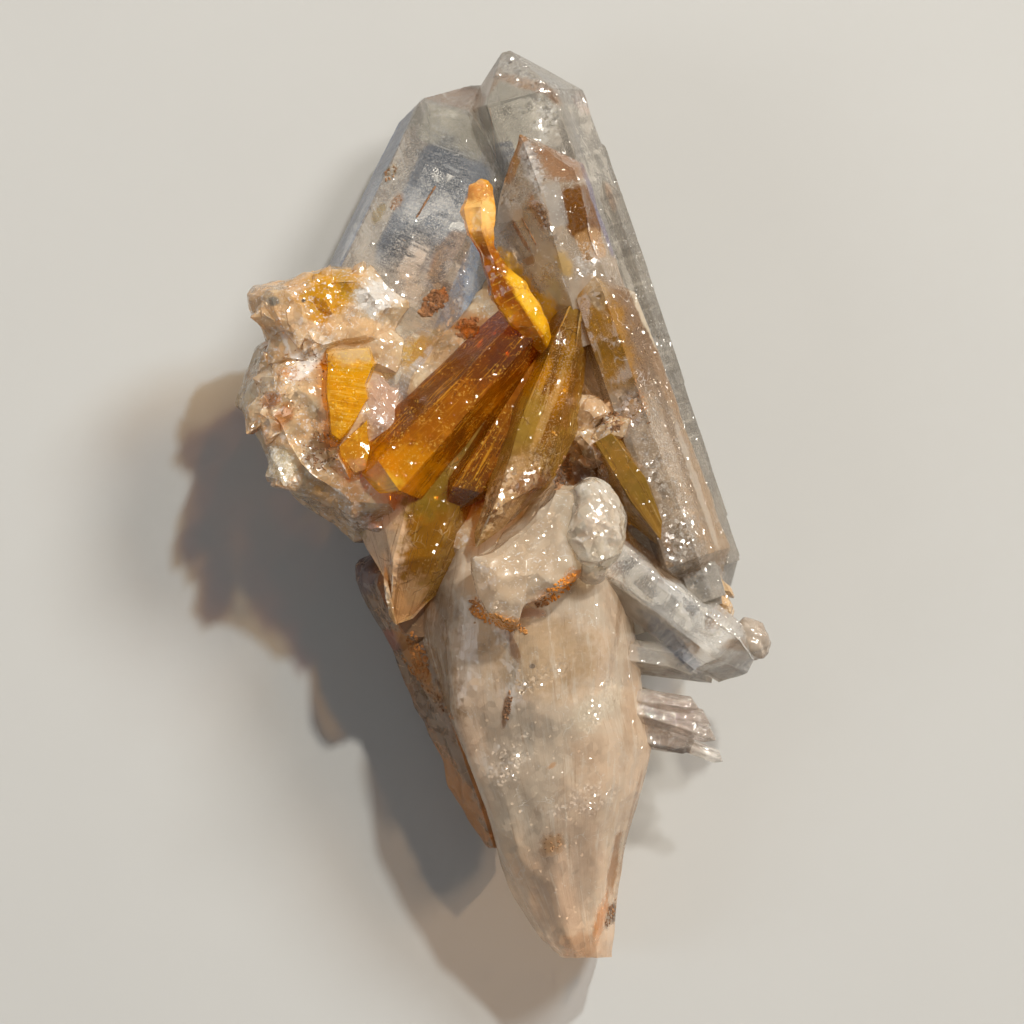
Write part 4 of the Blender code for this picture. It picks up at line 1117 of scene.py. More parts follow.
LEFT_ZONES = (
    (-6.2, 33.6, 3, 2.6, 65, "464c58", 0.7, 0.05),
    (-9.6, 25.2, 2.9, 2.3, 65, "343a46", 0.85, 0.05),
    (-10.4, 20.8, 3.4, 2.6, 50, "e2dcd0", 0.85, 0.12),
    (-10.6, 16.4, 4.2, 3.4, 50, "fae2ba", 0.95, 0.15),
    (-9.6, 9.6, 2.6, 2.2, 30, "aa8068", 0.85, 0.1),
    (-8.6, 15.4, 1.9, 1.2, 40, "eea018", 0.95, 0.1),
    (-6.2, 16.8, 1.2, 0.9, 40, "e8be5a", 0.8, 0.1),
    (-11.2, 33.4, 0.9, 0.5, 60, "a0743c", 0.95, 0.4),
    (-10.5, 30.4, 0.9, 0.5, 60, "b07450", 0.95, 0.4),
    (-12.3, 29.3, 1, 0.5, 60, "a07a3c", 0.9, 0.4),
)
CITRINE_FACES = (
    (0.8, 26, 2.2, 1.6, 125, "a09892", 0.85, 0.08),
    (7.8, 29.4, 2.5, 1.75, 104, "602800", 1, 0.06),
    (8.8, 26, 1.6, 1.2, 110, "c8823c", 0.85, 0.08),
    (1.1, 34.6, 2.6, 0.8, 70, "aa6422", 0.95, 0.06),
    (5.3, 30, 2.3, 0.9, 102, "beb8b0", 0.7, 0.15),
    (0.7, 29.2, 1.3, 0.9, 10, "e2d6c8", 0.7, 0.08),
    (9.5, 30.4, 5.6, 0.55, 109, "787490", 0.95, 0.05),
)
CITRINE_ZONES = (
    (5.8, 34.2, 2.6, 1.8, -25, "9e6036", 0.9, 0.08),
    (2.9, 33.6, 2.7, 0.7, -72, "d6ccc4", 0.8, 0.3),
    (3.6, 29.2, 1.9, 0.8, -62, "8c4c1c", 0.95, 0.3),
    (2, 26.6, 2, 0.2, -60, "784628", 0.95, 0.3),
    (2.6, 24.4, 0.6, 0.5, 0, "7e4c22", 0.95, 0.4),
    (1.9, 21.4, 4.8, 1.4, -57, "ffa000", 1, 0.06),
    (6.2, 24, 1.3, 0.7, -60, "ecac32", 0.6, 0.08),
    (4.8, 20.4, 1, 2, -20, "c4be96", 0.8, 0.1),
    (4.6, 19.4, 2.2, 1, 118, "ffa600", 0.95, 0.08),
)
AMBER_ZONES = (
    (-4, 13.2, 9, 2.4, 43, "582604", 0.95, 0.08),
    (-7.6, 7.6, 6, 1.5, 43, "a04c00", 0.85, 0.06),
    # Painted glow: the low end painted bright orange and yellow for the light that shines through it.
    (-10.6, 3, 4.6, 2.8, 20, "e07c00", 0.95, 0.06),
    (-11.8, 1.8, 1.8, 1.2, 20, "ffbe1e", 0.9, 0.06),
    (-3, 5.2, 5.4, 1, 52, "743200", 0.85, 0.06),
    (1.2, 15.4, 3, 1.6, 40, "48220c", 0.95, 0.1),
    (-3.4, 1.2, 4, 1.6, 60, "5c2600", 0.9, 0.08),
    (-3.6, 0.9, 1.8, 1.5, 60, "582e06", 0.95, 0.3),
)
GOLD_BLADE_ZONES = (
    (-14.9, 15.9, 2.4, 1.7, 0, "e2be82", 1, 0.15),
    (-17.2, 8.2, 0.9, 3, 0, "be7604", 0.9, 0.1),
    (-15, 5.6, 2.4, 1.6, 60, "b0680a", 0.85, 0.1),
    (-14.6, 3.6, 1.4, 0.9, 60, "c48c60", 0.7, 0.2),
)
FINGER_ZONES = (
    (-2.5, 29.4, 2.9, 1.9, 95, "fac870", 1, 0.06),
    (-2.4, 31.2, 0.9, 1.6, 95, "c4762c", 0.8, 0.06),
    (-0.2, 22.6, 4.6, 1.5, 118, "8c4000", 1, 0.06),
    (2.4, 20.6, 3.6, 0.7, 122, "ffbe14", 0.95, 0.06),
    (2.4, 17.6, 2.4, 0.9, 130, "ce6e04", 0.85, 0.06),
)
BROWN_ZONES = (
    (13.6, 16.6, 6.4, 2.7, 110, "684424", 0.95, 0.08),
    (10.4, 17, 5.6, 2.2, 108, "a05e02", 1, 0.06),
    (9.4, 21.4, 2, 1.1, 105, "be9660", 0.85, 0.08),
    (14.8, 6.6, 4.6, 3, 110, "9e8a74", 0.9, 0.2),
    (17.6, 6, 9, 0.5, 109, "6e543c", 0.7, 0.1),
    (19.4, 2, 7, 0.3, 109, "f0e2cc", 0.5, 0.1),
    # Painted highlight: a cream line along the bevel.
    (14.6, 18, 4.4, 0.4, 116, "f6e2be", 0.95, 0.1),
    (13, 9.8, 1.6, 1.2, 60, "825228", 0.95, 0.4),
    (16.6, 12.2, 3.6, 0.8, 112, "96704c", 0.85, 0.12),
    (16.4, -1, 4.6, 2.8, 110, "96826c", 0.85, 0.12),
    (19, -6, 4, 2, 110, "84725e", 0.8, 0.1),
)
OLIVE_ZONES = (
    (5.2, 12.4, 6.6, 2.9, 75, "703a00", 0.95, 0.06),
    (3.2, 12, 3.8, 0.9, 66, "ce7a00", 0.9, 0.06),
    (5.8, 11.6, 2.4, 0.8, 70, "b06200", 0.8, 0.06),
    (6.4, 14.6, 3.4, 0.6, 76, "a06004", 0.85, 0.06),
    (4.2, 18.2, 3.4, 1.4, 80, "683402", 0.85, 0.08),
    (2.6, 8.6, 3, 1.4, 70, "a0761e", 0.85, 0.06),
    (0.2, 0.4, 5, 1.9, 65, "c49660", 0.9, 0.12),
    (2.9, 2.4, 1.9, 1.1, 20, "764422", 0.95, 0.4),
    (4.6, 9.6, 4.6, 0.4, 68, "ce9646", 0.7, 0.1),
    (-8, -3.6, 5.6, 2.3, 70, "7e4600", 0.95, 0.06),
    (-12, -5, 6.8, 2.2, 82, "fac896", 0.95, 0.12),
    (-9.8, -9.8, 3, 1.8, 60, "ce965c", 0.9, 0.1),
    (-6.8, 1.2, 2.6, 1.8, 60, "7a5808", 0.8, 0.06),
    (-8, -10.8, 1.2, 0.8, 40, "aa7444", 0.95, 0.5),
    (14.6, -3.2, 5, 1.6, 118, "a06a1a", 0.85, 0.1),
)
TAIL_ZONES = (
    # Painted shade: darker brown down the tail's left face, the side turned away from the light.
    (-7.2, -14.6, 7.6, 2.2, -74, "967048", 0.95, 0.15),
    (4, -15, 5.4, 4, 0, "b89264", 0.7, 0.2),
    # Painted shade: darker brown on the tail's upper left, beside the cap.
    (-6.4, -10.4, 2.6, 1.8, -40, "967454", 0.7, 0.2),
    (2.6, -27, 7, 4.2, 90, "ceb89e", 0.6, 0.25),
    (6.6, -36, 7, 3, 80, "be9c80", 0.6, 0.25),
    (9.6, -20, 3.4, 1.4, 40, "d8c4a6", 0.7, 0.2),
    (1.2, -14.2, 1.5, 0.45, -70, "7e502a", 0.95, 0.5),
    (0.4, -20.2, 1.8, 0.35, 80, "7e502a", 0.95, 0.5),
    (3, -15.9, 0.3, 0.22, 20, "3c2c20", 0.8, 0.6),
    (5, -25.8, 0.5, 0.22, 40, "c48246", 0.6, 0.4),
    (11.8, -9.6, 5.4, 0.28, 84, "96704c", 0.5, 0.3),
    (12.8, -32, 5, 0.25, 78, "926842", 0.6, 0.3),
    (2.4, -10.6, 1.8, 0.5, 0, "a05c3c", 0.6, 0.4),
    (5.1, -33.7, 1.2, 0.9, 30, "a07246", 0.9, 0.5),
    (11.2, -36, 3.2, 0.45, 80, "966234", 0.9, 0.4),
    (11, -41, 1.2, 0.6, 70, "2c1c14", 0.95, 0.5),
    (9.8, -41.4, 2, 0.5, 75, "ce7832", 0.8, 0.5),
    (7.8, -44, 2, 1.2, 0, "ce966a", 0.7, 0.3),
    (13, -18, 7, 0.9, 86, "ba9674", 0.7, 0.2),
)
SMALL_CLEAR_ZONES = (
    (17.6, -21.4, 4.4, 3.6, -20, "aa9282", 0.85, 0.06),
    (16.9, -13.6, 4, 0.9, -46, "7888a6", 0.7, 0.04),
    # Painted highlight: a white band along the rod's ridge.
    (17.2, -8.6, 3.4, 0.5, -38, "ffffff", 0.95, 0.05),
    (23.2, -13.8, 1.2, 0.6, 0, "aa8464", 0.8, 0.3),
)
ROD_LADDERS = (
    (17.1, -13.8, 3.8, 0.8, -46, 900, 0.5, "3c4a68", 0.6),
    (18, -14.8, 1.8, 0.7, -46, 600, 0.55, "323e5c", 0.5),
    (20, -11.4, 3.4, 0.5, -36, 1200, 0.5, "ffffff", 0.9),
)
CAP_ZONES = (
    (6.8, -7.8, 1.7, 0.9, 60, "c46816", 1, 0.6),
    (4.1, -9.6, 1.9, 1.1, 30, "ba8460", 0.85, 0.3),
    (0.1, -11.6, 3.3, 0.9, -10, "c4803c", 0.95, 0.5),
    (0.6, -6.4, 3.4, 2.8, 20, "c8aa86", 0.7, 0.3),
    (8.8, -7.8, 1.4, 1.2, 0, "bea080", 0.7, 0.3),
)
ROUGH_ZONES = (
    (-17, 21.4, 3.1, 2.1, 20, "ce8c04", 1, 0.08),
    (-18.1, 19.2, 1.1, 1.1, 0, "ce8a14", 0.95, 0.1),
    (-12.4, 20.8, 2.2, 1.6, 20, "f4eee4", 0.95, 0.1),
    (-22.7, 20.4, 0.55, 0.5, 0, "6e6c66", 0.95, 0.1),
    (-19.7, 20.4, 0.22, 0.2, 0, "32281e", 0.95, 0.5),
    (-20.8, 13.1, 1.3, 0.6, -20, "b06824", 0.95, 0.5),
    (-23, 10.5, 1.1, 0.7, 30, "a66022", 0.95, 0.5),
    (-21.8, 8.8, 1.6, 0.8, 60, "a66022", 0.95, 0.5),
    (-18.8, 14.4, 2.6, 0.5, 50, "fcf8f2", 0.95, 0.1),
    (-20.6, 15.2, 2.4, 0.5, 120, "fcf8f2", 0.9, 0.1),
    (-18, 5.4, 2, 1.6, 60, "6e481e", 0.9, 0.5),
    (-22, 4, 1.9, 1.6, 60, "bab292", 0.85, 0.1),
    (-18.1, 1.8, 0.5, 0.45, 0, "d89016", 1, 0.4),
    (-16.4, 0.8, 3.4, 2.2, -40, "cc9254", 0.85, 0.3),
    (-12.6, -2.6, 2.6, 1.6, -40, "b07e50", 0.85, 0.3),
    (-11.6, 10.4, 3.4, 1.8, 80, "b48e7c", 0.85, 0.08),
    (9.4, 9.4, 1.6, 2.4, 0, "cea678", 0.7, 0.2),
    (9.6, 4.4, 2.6, 2, 0, "a0744c", 0.85, 0.3),
    (6, 3.4, 1.6, 1, 70, "462a14", 0.95, 0.6),
)
SMOKY_ZONES = (
    (-10.9, -13.4, 1.2, 0.8, -50, "8c4a34", 0.9, 0.4),
    (-8.6, -15.6, 4.2, 0.7, -60, "b0681e", 0.9, 0.6),
    (-4.2, -29, 6, 1.1, -62, "be7a40", 0.9, 0.4),
    (-13.6, -6.6, 1.2, 2.2, 0, "605054", 0.8, 0.2),
)


class SPECIMEN_OT_clear_points(bpy.types.Operator):
    """Makes the great point and the left point, with the thin crystals along the great point's side"""

    bl_idname = "specimen.clear_points"
    bl_label = "Clear points"

    def execute(self, context):
        clear = colours().clear
        great = Finish("great_point_quartz", clear, roughness=0.04, see_through=0.75, lamp_tint=0.85)
        great.cloud("cebaa0", grain=170, cover=0.46, strength=0.5, roughness=0.16)
        great.faces(GREAT_PAINTED_REFLECTIONS).zones(GREAT_ZONES)
        great.lines(WHITE, 0.12, 4.5, cover=0.36, strength=0.4, height=0.015)
        great.lines("6e6458", 0.12, 3.2, cover=0.36, strength=0.7)
        great.cracks(grain=160, width=0.012, cover=0.4, strength=0.7, roughness=0.3, bend=0.004)
        great.frost(grain=3600, patch=240, roughness=0.3)
        great.ladders(GREAT_LADDERS).sparkle(GREAT_SPARKLES).crushed(GREAT_CRUSHED)
        great.glints(share=0.06, low=0.5, high=0.62)
        left = Finish("left_point_quartz", clear, roughness=0.04, see_through=0.75, lamp_tint=0.85)
        left.cloud("d6d0c8", grain=300, cover=0.42, strength=0.5, roughness=0.14)
        left.faces(LEFT_PAINTED_REFLECTIONS).zones(LEFT_ZONES)
        left.lines("3c404a", 0.14, 3.6, cover=0.38, strength=0.7)
        left.lines(WHITE, 0.16, 4.5, strength=0.8, height=0.015)
        left.cracks(grain=180, width=0.012, cover=0.4, roughness=0.3, bend=0.004)
        left.frost(grain=6000, cover=0.44, patch=340, spread=0.6, roughness=0.25)
        left.ladders(LEFT_LADDERS).sparkle(LEFT_SPARKLES, strength=0.75).crushed(LEFT_CRUSHED)
        left.glints(share=0.08, low=0.5, high=0.62)
        great_material, left_material = great.done(), left.done()
        crystal("great_point", GREAT_HEADING, GREAT_RINGS, great_material, seed=11)
        crystal("left_point", LEFT_HEADING, LEFT_RINGS, left_material, seed=21)
        for number, (foot, end, across, height, half) in enumerate(GREAT_LEDGES, 1):
            rings = [ring_at(foot, across, height, half), ring_at(end, across, height, half),
                     [(end + half * 2.0, across - half * 0.4, height)] * 6]
            crystal(f"great_ledge_{number}", GREAT_HEADING, rings, great_material,
                    seed=30 + number)
        sliver = [ring_at(-12, 19.4, 14.6, 1.5), ring_at(-2.8, 19.6, 15.2, 1.1), [(0.3, 19.4, 15.4)] * 6]
        crystal("foot_sliver", 96, sliver, great_material, seed=37)
        return {"FINISHED"}


class SPECIMEN_OT_amber_crystals(bpy.types.Operator):
    """Makes the citrine point, the gold finger, both amber prisms and the gold blade"""

    bl_idname = "specimen.amber_crystals"
    bl_label = "Amber crystals"

    def execute(self, context):
        hue = colours()
        point = Finish("citrine_point_quartz", "aa947c", roughness=0.05, see_through=0.65, lamp_tint=0.85)
        point.cloud("ceb496", grain=260, cover=0.48, roughness=0.16)
        point.cloud("785434", grain=420, cover=0.38, strength=0.6)
        point.zones(CITRINE_FACES, corner=6, ragged=0.2, soft=0.12).zones(CITRINE_ZONES)
        point.cracks(cover=0.44, strength=0.5, roughness=0.3, bend=0.002)
        point.frost(grain=3300, strength=0.6, roughness=0.2)
        point.sparkle(((3.2, 33.6, 2.7, 0.9, -72), (6, 35.6, 2.6, 0.7, -25), (1.4, 30.4, 1.6, 1, 20),
                       (8.4, 24.6, 1.6, 1, 60)))
        point.crushed(CITRINE_CRUSHED)
        point.facets(1300, 0.1)
        point.glints(share=0.12)
        crystal("citrine_point", GREAT_HEADING, CITRINE_RINGS, point.done(), chip=0.2,
                seed=41)
        amber = Finish("amber_prism_quartz", hue.amber, roughness=0.07, see_through=0.5,
                       absorbs="fabe5a", density=25, lamp_tint=0.95)
        amber.cloud("602c04", grain=240, cover=0.44)
        amber.cloud("e27c06", grain=330, cover=0.42, strength=0.6)
        amber.zones(AMBER_ZONES)
        amber.lines("542604", 1.3, 0.06, strength=0.45, height=0.03)
        amber.lines("f09614", 2.8, 0.14, strength=0.7, height=0.03)
        amber.cracks("ec9628", width=0.025, cover=0.4, strength=0.5, bend=0.003)
        amber.frost("ffbe3c", cover=0.42, spread=0.52, strength=0.6)
        amber.facets(1300, 0.12)
        amber.glints(share=0.14)
        amber_material = amber.done()
        crystal("amber_prism", AMBER_HEADING, AMBER_RINGS, amber_material, striae=0.004,
                chip=0.08, seed=51)
        crystal("dark_amber_prism", DARK_AMBER_HEADING, DARK_AMBER_RINGS, amber_material,
                striae=0.004, chip=0.08, seed=52)
        gold = Finish("gold_quartz", hue.gold, roughness=0.07, see_through=0.42,
                      absorbs="fcd278", density=25, lamp_tint=0.95)
        gold.cloud("c47602", grain=380, cover=0.46)
        gold.zones(GOLD_BLADE_ZONES + FINGER_ZONES)
        gold.lines("ffc428", 0.2, 2.4, cover=0.38, strength=0.5, height=0.04)
        gold.lines("a05402", 0.25, 3.4, cover=0.36, strength=0.6)
        gold.frost("ffd86e", grain=3000, spread=0.52)
        gold.cracks("824204", width=0.03, cover=0.44, bend=0.003)
        gold.glints(share=0.1)
        gold.ladders(((-15, 11.4, 4.4, 2.4, 82, 4200, 0.45, "ffd050", 0.3),
                      (-15, 9.4, 3.6, 2.4, 78, 2400, 0.42, "ba6c00", 0.4)))
        gold.facets(1400, 0.2)
        gold_material = gold.done()
        lump("gold_blade", block_grid(GOLD_BLADE_OUTLINE, GOLD_BLADE_LEVELS, 0.25), gold_material,
             "amber_citrine", 0.06, 4, 0.08, 2.4, 53)
        lump("gold_wedge", block_grid(GOLD_WEDGE_OUTLINE, GOLD_WEDGE_LEVELS, 0.25), gold_material,
             "amber_citrine", 0.08, 3, 0.12, 1.6, 54)
        gold_finger(gold_material)
        return {"FINISHED"}


def gold_finger(material):
    """The curved gold crystal: six-sided rings square to its path."""
    path = np.array(FINGER_PATH)
    middles, half = path[:, :3], path[:, 3:4, None]
    ahead = np.gradient(middles, axis=0)
    ahead /= np.linalg.norm(ahead, axis=1)[:, None]
    right = np.cross(ahead, [0.0, 0.0, 1.0])
    right /= np.linalg.norm(right, axis=1)[:, None]
    up = np.cross(right, ahead)
    angles = np.radians(60.0 * np.arange(6) + FINGER_ROLL)[None, :, None]
    rings = (middles[:, None] + right[:, None] * half * np.cos(angles)
             + up[:, None] * half * FINGER_DEPTH * np.sin(angles))
    lump("gold_finger", crystal_grid(rings, 0.22), material, "amber_citrine", 0.07, 2.4, 0.16, 1.8, 61,
         fine=0.05)


class SPECIMEN_OT_brown_crystals(bpy.types.Operator):
    """Makes the brown point, the olive blade, the olive point and the tan wedge"""

    bl_idname = "specimen.brown_crystals"
    bl_label = "Brown and olive crystals"

    def execute(self, context):
        hue = colours()
        brown = Finish("brown_point_quartz", "aa8866", roughness=0.06, see_through=0.6, lamp_tint=0.85)
        brown.cloud("c8b092", grain=240, cover=0.44, strength=0.6, roughness=0.15)
        brown.zones(BROWN_ZONES)
        brown.lines("6e4622", 1.4, 0.08, cover=0.38, strength=0.35, height=0.02)
        brown.lines("f0d6b0", 2, 0.12, cover=0.34, strength=0.4, height=0.02)
        brown.sparkle(((15.4, 4.8, 5, 2.4, 110), (17.4, -2.6, 3.4, 2.2, 110)), strength=0.5)
        brown.cracks(strength=0.7, roughness=0.3, bend=0.003)
        brown.frost("f0d2a0", cover=0.38, strength=0.5)
        brown.crushed(BROWN_CRUSHED, tilt=0.5, strength=0.25, share=0.2)
        brown.glints(share=0.12)
        brown.facets(1500, 0.1)
        brown_material = brown.done()
        crystal("brown_point", GREAT_HEADING, BROWN_RINGS, brown_material, striae=0.006,
                chip=0.15, seed=71)
        olive = Finish("olive_quartz", hue.olive, roughness=0.08, see_through=0.5,
                       absorbs="f0ce96", density=20, lamp_tint=0.95)
        olive.cloud("78540a", grain=260, cover=0.46)
        olive.zones(OLIVE_ZONES)
        olive.lines("5a3208", 1.6, 0.08, cover=0.42, strength=0.55, height=0.04)
        olive.lines("e8ba68", 2.8, 0.14, cover=0.36, strength=0.45, height=0.03)
        olive.sparkle(((0.4, 0.4, 4, 1.6, 65), (3.8, 4.6, 3, 1.4, 65), (5.6, 13, 4.6, 1.6, 75),
                       (-11.8, -6, 3.6, 1.4, 80)), colour="fae2b4", strength=0.3)
        olive.cracks("dcba82", grain=500, width=0.025, roughness=0.3)
        olive.frost("e2b060", cover=0.38, strength=0.5)
        olive.cracks("4e2806", grain=380, width=0.03, cover=0.46)
        olive.crushed(OLIVE_CRUSHED, colour="fae2b4", strength=0.3)
        olive.glints(share=0.12)
        olive.facets(1500, 0.12)
        olive_material = olive.done()
        crystal("olive_blade", OLIVE_BLADE_HEADING, OLIVE_BLADE_RINGS, olive_material,
                striae=0.004, chip=0.12, seed=72)
        crystal("olive_point", OLIVE_POINT_HEADING, OLIVE_POINT_RINGS, olive_material,
                striae=0.004, chip=0.12, seed=73)
        crystal("tan_wedge", WEDGE_HEADING, WEDGE_RINGS, olive_material, striae=0.004,
                seed=74)
        return {"FINISHED"}


class SPECIMEN_OT_small_clear_crystals(bpy.types.Operator):
    """Makes the clear rod with its smoky knob, the silver chip and the fan of thin blades"""

    bl_idname = "specimen.small_clear_crystals"
    bl_label = "Small clear crystals"

    def execute(self, context):
        clear = Finish("small_clear_quartz", "f4eee4", roughness=0.04, see_through=0.76, lamp_tint=0.85)
        clear.cloud("cebaa0", grain=300, cover=0.44, strength=0.6)
        clear.lines("706254", 1.3, 0.07, strength=0.6)
        clear.lines(WHITE, 2.4, 0.1, strength=0.7, height=0.06)
        clear.zones(SMALL_CLEAR_ZONES).ladders(ROD_LADDERS)
        clear.cracks(grain=500, width=0.03, strength=0.8, roughness=0.3)
        clear.frost(grain=3600, spread=0.5)
        clear.facets(1500, 0.1)
        clear.glints(share=0.2, low=0.42)
        clear_material = clear.done()
        crystal("clear_rod", ROD_HEADING, ROD_RINGS, clear_material, striae=0.003, swell=0.06,
                chip=0.15, seed=81)
        crystal("silver_chip", CHIP_HEADING, CHIP_RINGS, clear_material, seed=82)
        for number, (heading, reach, across, height, half) in enumerate(FAN_BLADES, 1):
            rings = [ring_at(FAN_FOOT, across, height, half), ring_at(reach, across, height, half * 0.9),
                     [(reach + half, across + half * 0.3, height - half * 0.5)] * 6]
            crystal(f"fan_blade_{number}", heading, rings, clear_material, spacing=0.25,
                    seed=83 + number)
        root = eased(block_grid(FAN_ROOT_OUTLINE, FAN_ROOT_LEVELS, 0.3), 2)
        lump("fan_root", root, clear_material, "clear_quartz", 0.1, 3, 0.2, 1.6, 90)
        knob = Finish("smoky_knob_quartz", "baa894", roughness=0.12, see_through=0.6)
        knob.cloud("967860", grain=500, cover=0.42, strength=0.6, roughness=0.3)
        lump("smoky_knob", ball_grid((25, -13.3, 13.6), (1.6, 2.2, 2.5), 30, 0.2), knob.done(),
             "clear_quartz", 0.1, 1.6, 0.06, 1, 91)
        return {"FINISHED"}


class SPECIMEN_OT_milky_tail(bpy.types.Operator):
    """Makes the milky tail and the smoky slab and band behind its left edge, painted dark also for the shade
    that they lie in
    """

    bl_idname = "specimen.milky_tail"
    bl_label = "Milky tail"

    def execute(self, context):
        hue = colours()
        milky = Finish("milky_tail_quartz", hue.milky, roughness=0.2, see_through=0.4, lamp_tint=0.7)
        milky.cloud("ccb89e", grain=110, cover=0.5, roughness=0.26)
        milky.cloud("a07450", grain=260, cover=0.36, strength=0.4)
        milky.zones(TAIL_ZONES)
        milky.lines("e8d6be", 1.4, 0.16, cover=0.42, strength=0.45, height=0.03)
        milky.lines("926c48", 2.2, 0.14, cover=0.38, strength=0.4, height=0.03)
        milky.cracks("ece0ce", grain=330, cover=0.4, roughness=0.3, bend=0.003)
        milky.frost(cover=0.38, patch=380, spread=0.42, strength=0.4, roughness=0.1)
        milky.glints(share=0.035, low=0.46, high=0.6)
        milky.crushed(TAIL_CRUSHED, grain=4200, tilt=0.3, strength=0.12, share=0.14)
        milky.facets(1500, 0.16)
        lump("milky_tail", eased(loft_grid(TAIL_SECTIONS, 0.42), 20), milky.done(), "milky_quartz",
             0.08, 9, 0.1, 3, 101, fine=0.06, stretch=(0.7, 1.6, 1), sharp=20)
        # Smoky brown, dark also as painted shade of this shaded left side.
        smoky = Finish("smoky_quartz_painted_shade", hue.smoky, roughness=0.16, see_through=0.3, lamp_tint=0.3)
        smoky.cloud("825028", grain=300, cover=0.42, roughness=0.45)
        smoky.zones(SMOKY_ZONES)
        smoky.cracks("c49260", width=0.03, roughness=0.4)
        smoky.frost("d6aa78", grain=2800, cover=0.36, spread=0.44)
        smoky.facets(1100, 0.35)
        smoky_shade_material = smoky.done()
        lump("smoky_slab", block_grid(SLAB_OUTLINE, SLAB_LEVELS, 0.45), smoky_shade_material, "milky_quartz",
             0.1, 5, 0.12, 3, 103)
        lump("smoky_band", loft_grid(BAND_SECTIONS, 0.42), smoky_shade_material, "milky_quartz",
             0.1, 4, 0.12, 2, 104)
        return {"FINISHED"}


class SPECIMEN_OT_rough_quartz(bpy.types.Operator):
    """Makes the broken quartz: the heart, the left arm and chunk, and the flakes on them"""

    bl_idname = "specimen.rough_quartz"
    bl_label = "Rough quartz"

    def execute(self, context):
        rough = Finish("rough_quartz", "e2bc88", roughness=0.07, see_through=0.5, lamp_tint=0.85)
        rough.cloud("f2debe", grain=240, cover=0.46, roughness=0.12)
        rough.facets(700, 0.2, "b08050", 0.45)
        rough.cloud("c4843c", grain=420, cover=0.36, strength=0.6, roughness=0.2)
        rough.zones(ROUGH_ZONES)
        rough.cracks("965c28", grain=520, cover=0.4, roughness=0.4)
        rough.cracks(grain=300, width=0.015, strength=0.4, roughness=0.2, bend=0.002)
        rough.sparkle(((-20, 14.6, 3, 0.8, 60), (-12.6, 20.8, 2.4, 1.8, 20), (-22, 3.4, 2.4, 1.4, 120),
                       (-21.4, 12.6, 2.6, 1, 30)), strength=1, roughness=0.05)
        rough.crushed(((-19.6, 14.6, 3, 0.7, 55), (-12.6, 20.8, 2.2, 1.6, 20), (-21.8, 3.4, 2.4, 1.3, 120),
                       (-14, -1.6, 3, 1.2, -40)), tilt=0.4)
        rough.frost(grain=3000, cover=0.42, spread=0.52, roughness=0.1)
        rough.facets(1500, 0.45)
        rough.glints(share=0.18, low=0.44)
        material = rough.done()
        for name, outline, levels, spacing, chip, size, seed in (
                ("heart", HEART_OUTLINE, HEART_LEVELS, 0.8, 0.5, 4, 111),
                ("left_arm", ARM_OUTLINE, ARM_LEVELS, 0.28, 0.22, 1.8, 112),
                ("left_neck", NECK_OUTLINE, NECK_LEVELS, 0.3, 0.18, 1.8, 114),
                ("left_chunk", CHUNK_OUTLINE, CHUNK_LEVELS, 0.3, 0.22, 1.8, 113)):
            lump(name, block_grid(outline, levels, spacing), material, "milky_quartz",
                 0.12, 6, chip, size, seed, fine=0.06, sharp=24)
        for kind, (name, outline, height, count, half, lean) in enumerate(FLAKE_FIELDS, 1):
            for number, centre in enumerate(flake_field(outline, height, count, 200 + kind), 1):
                seed = kind * 100 + number
                size = np.array(half) * np.random.default_rng(seed).uniform(0.55, 1.1)
                grid = crystal_grid(flake_rings(centre, size, lean, seed), 0.3, worn=0.03)
                lump(f"{name}_flake_{number}", grid, material, "milky_quartz",
                     0.02, 2, 0.05, 1.2, seed, sharp=20)
        return {"FINISHED"}


class SPECIMEN_OT_rounded_lumps(bpy.types.Operator):
    """Makes the milky cap, the clear knob and its foot"""

    bl_idname = "specimen.rounded_lumps"
    bl_label = "Rounded lumps"

    def execute(self, context):
        cap = Finish("cap_quartz", "c4ac8e", roughness=0.14, see_through=0.45, lamp_tint=0.7)
        cap.cloud("dcd0bc", grain=260, cover=0.46, strength=0.6, roughness=0.24)
        cap.cloud("b29270", grain=300, cover=0.38, strength=0.4)
        cap.zones(CAP_ZONES)
        cap.cracks(roughness=0.3)
        cap.frost(spread=0.5, roughness=0.1)
        cap.facets(1400, 0.2)
        cap.glints(share=0.14)
        grid = eased(block_grid(CAP_OUTLINE, CAP_LEVELS, 0.25), 2)
        lump("milky_cap", grid, cap.done(), "milky_quartz", 0.06, 5, 0.26, 3, 131, fine=0.05, sharp=20)
        glass = Finish("knob_quartz", "ccbca4", roughness=0.06, see_through=0.65, lamp_tint=0.85)
        glass.cloud("f6f0e4", grain=420, cover=0.48, strength=0.8, roughness=0.12)
        glass.cloud("968a78", grain=520, cover=0.34, strength=0.5)
        glass.frost(spread=0.5)
        glass.facets(900, 0.45)
        glass.glints(grain=3000, share=0.25, low=0.4)
        material = glass.done()
        knob = ball_grid((9, -1.8, 23.6), (3, 4.6, 4.3), 8, 0.22)
        lump("clear_knob", knob, material, "clear_quartz", 0.05, 3, 0.32, 1.5, 132, fine=0.14, sharp=18)
        foot = ball_grid((8.8, -6.2, 22.6), (1.6, 1.6, 2.6), 0, 0.22)
        lump("knob_foot", foot, material, "clear_quartz", 0.04, 1.6, 0.16, 1.6, 133, sharp=18)
        return {"FINISHED"}


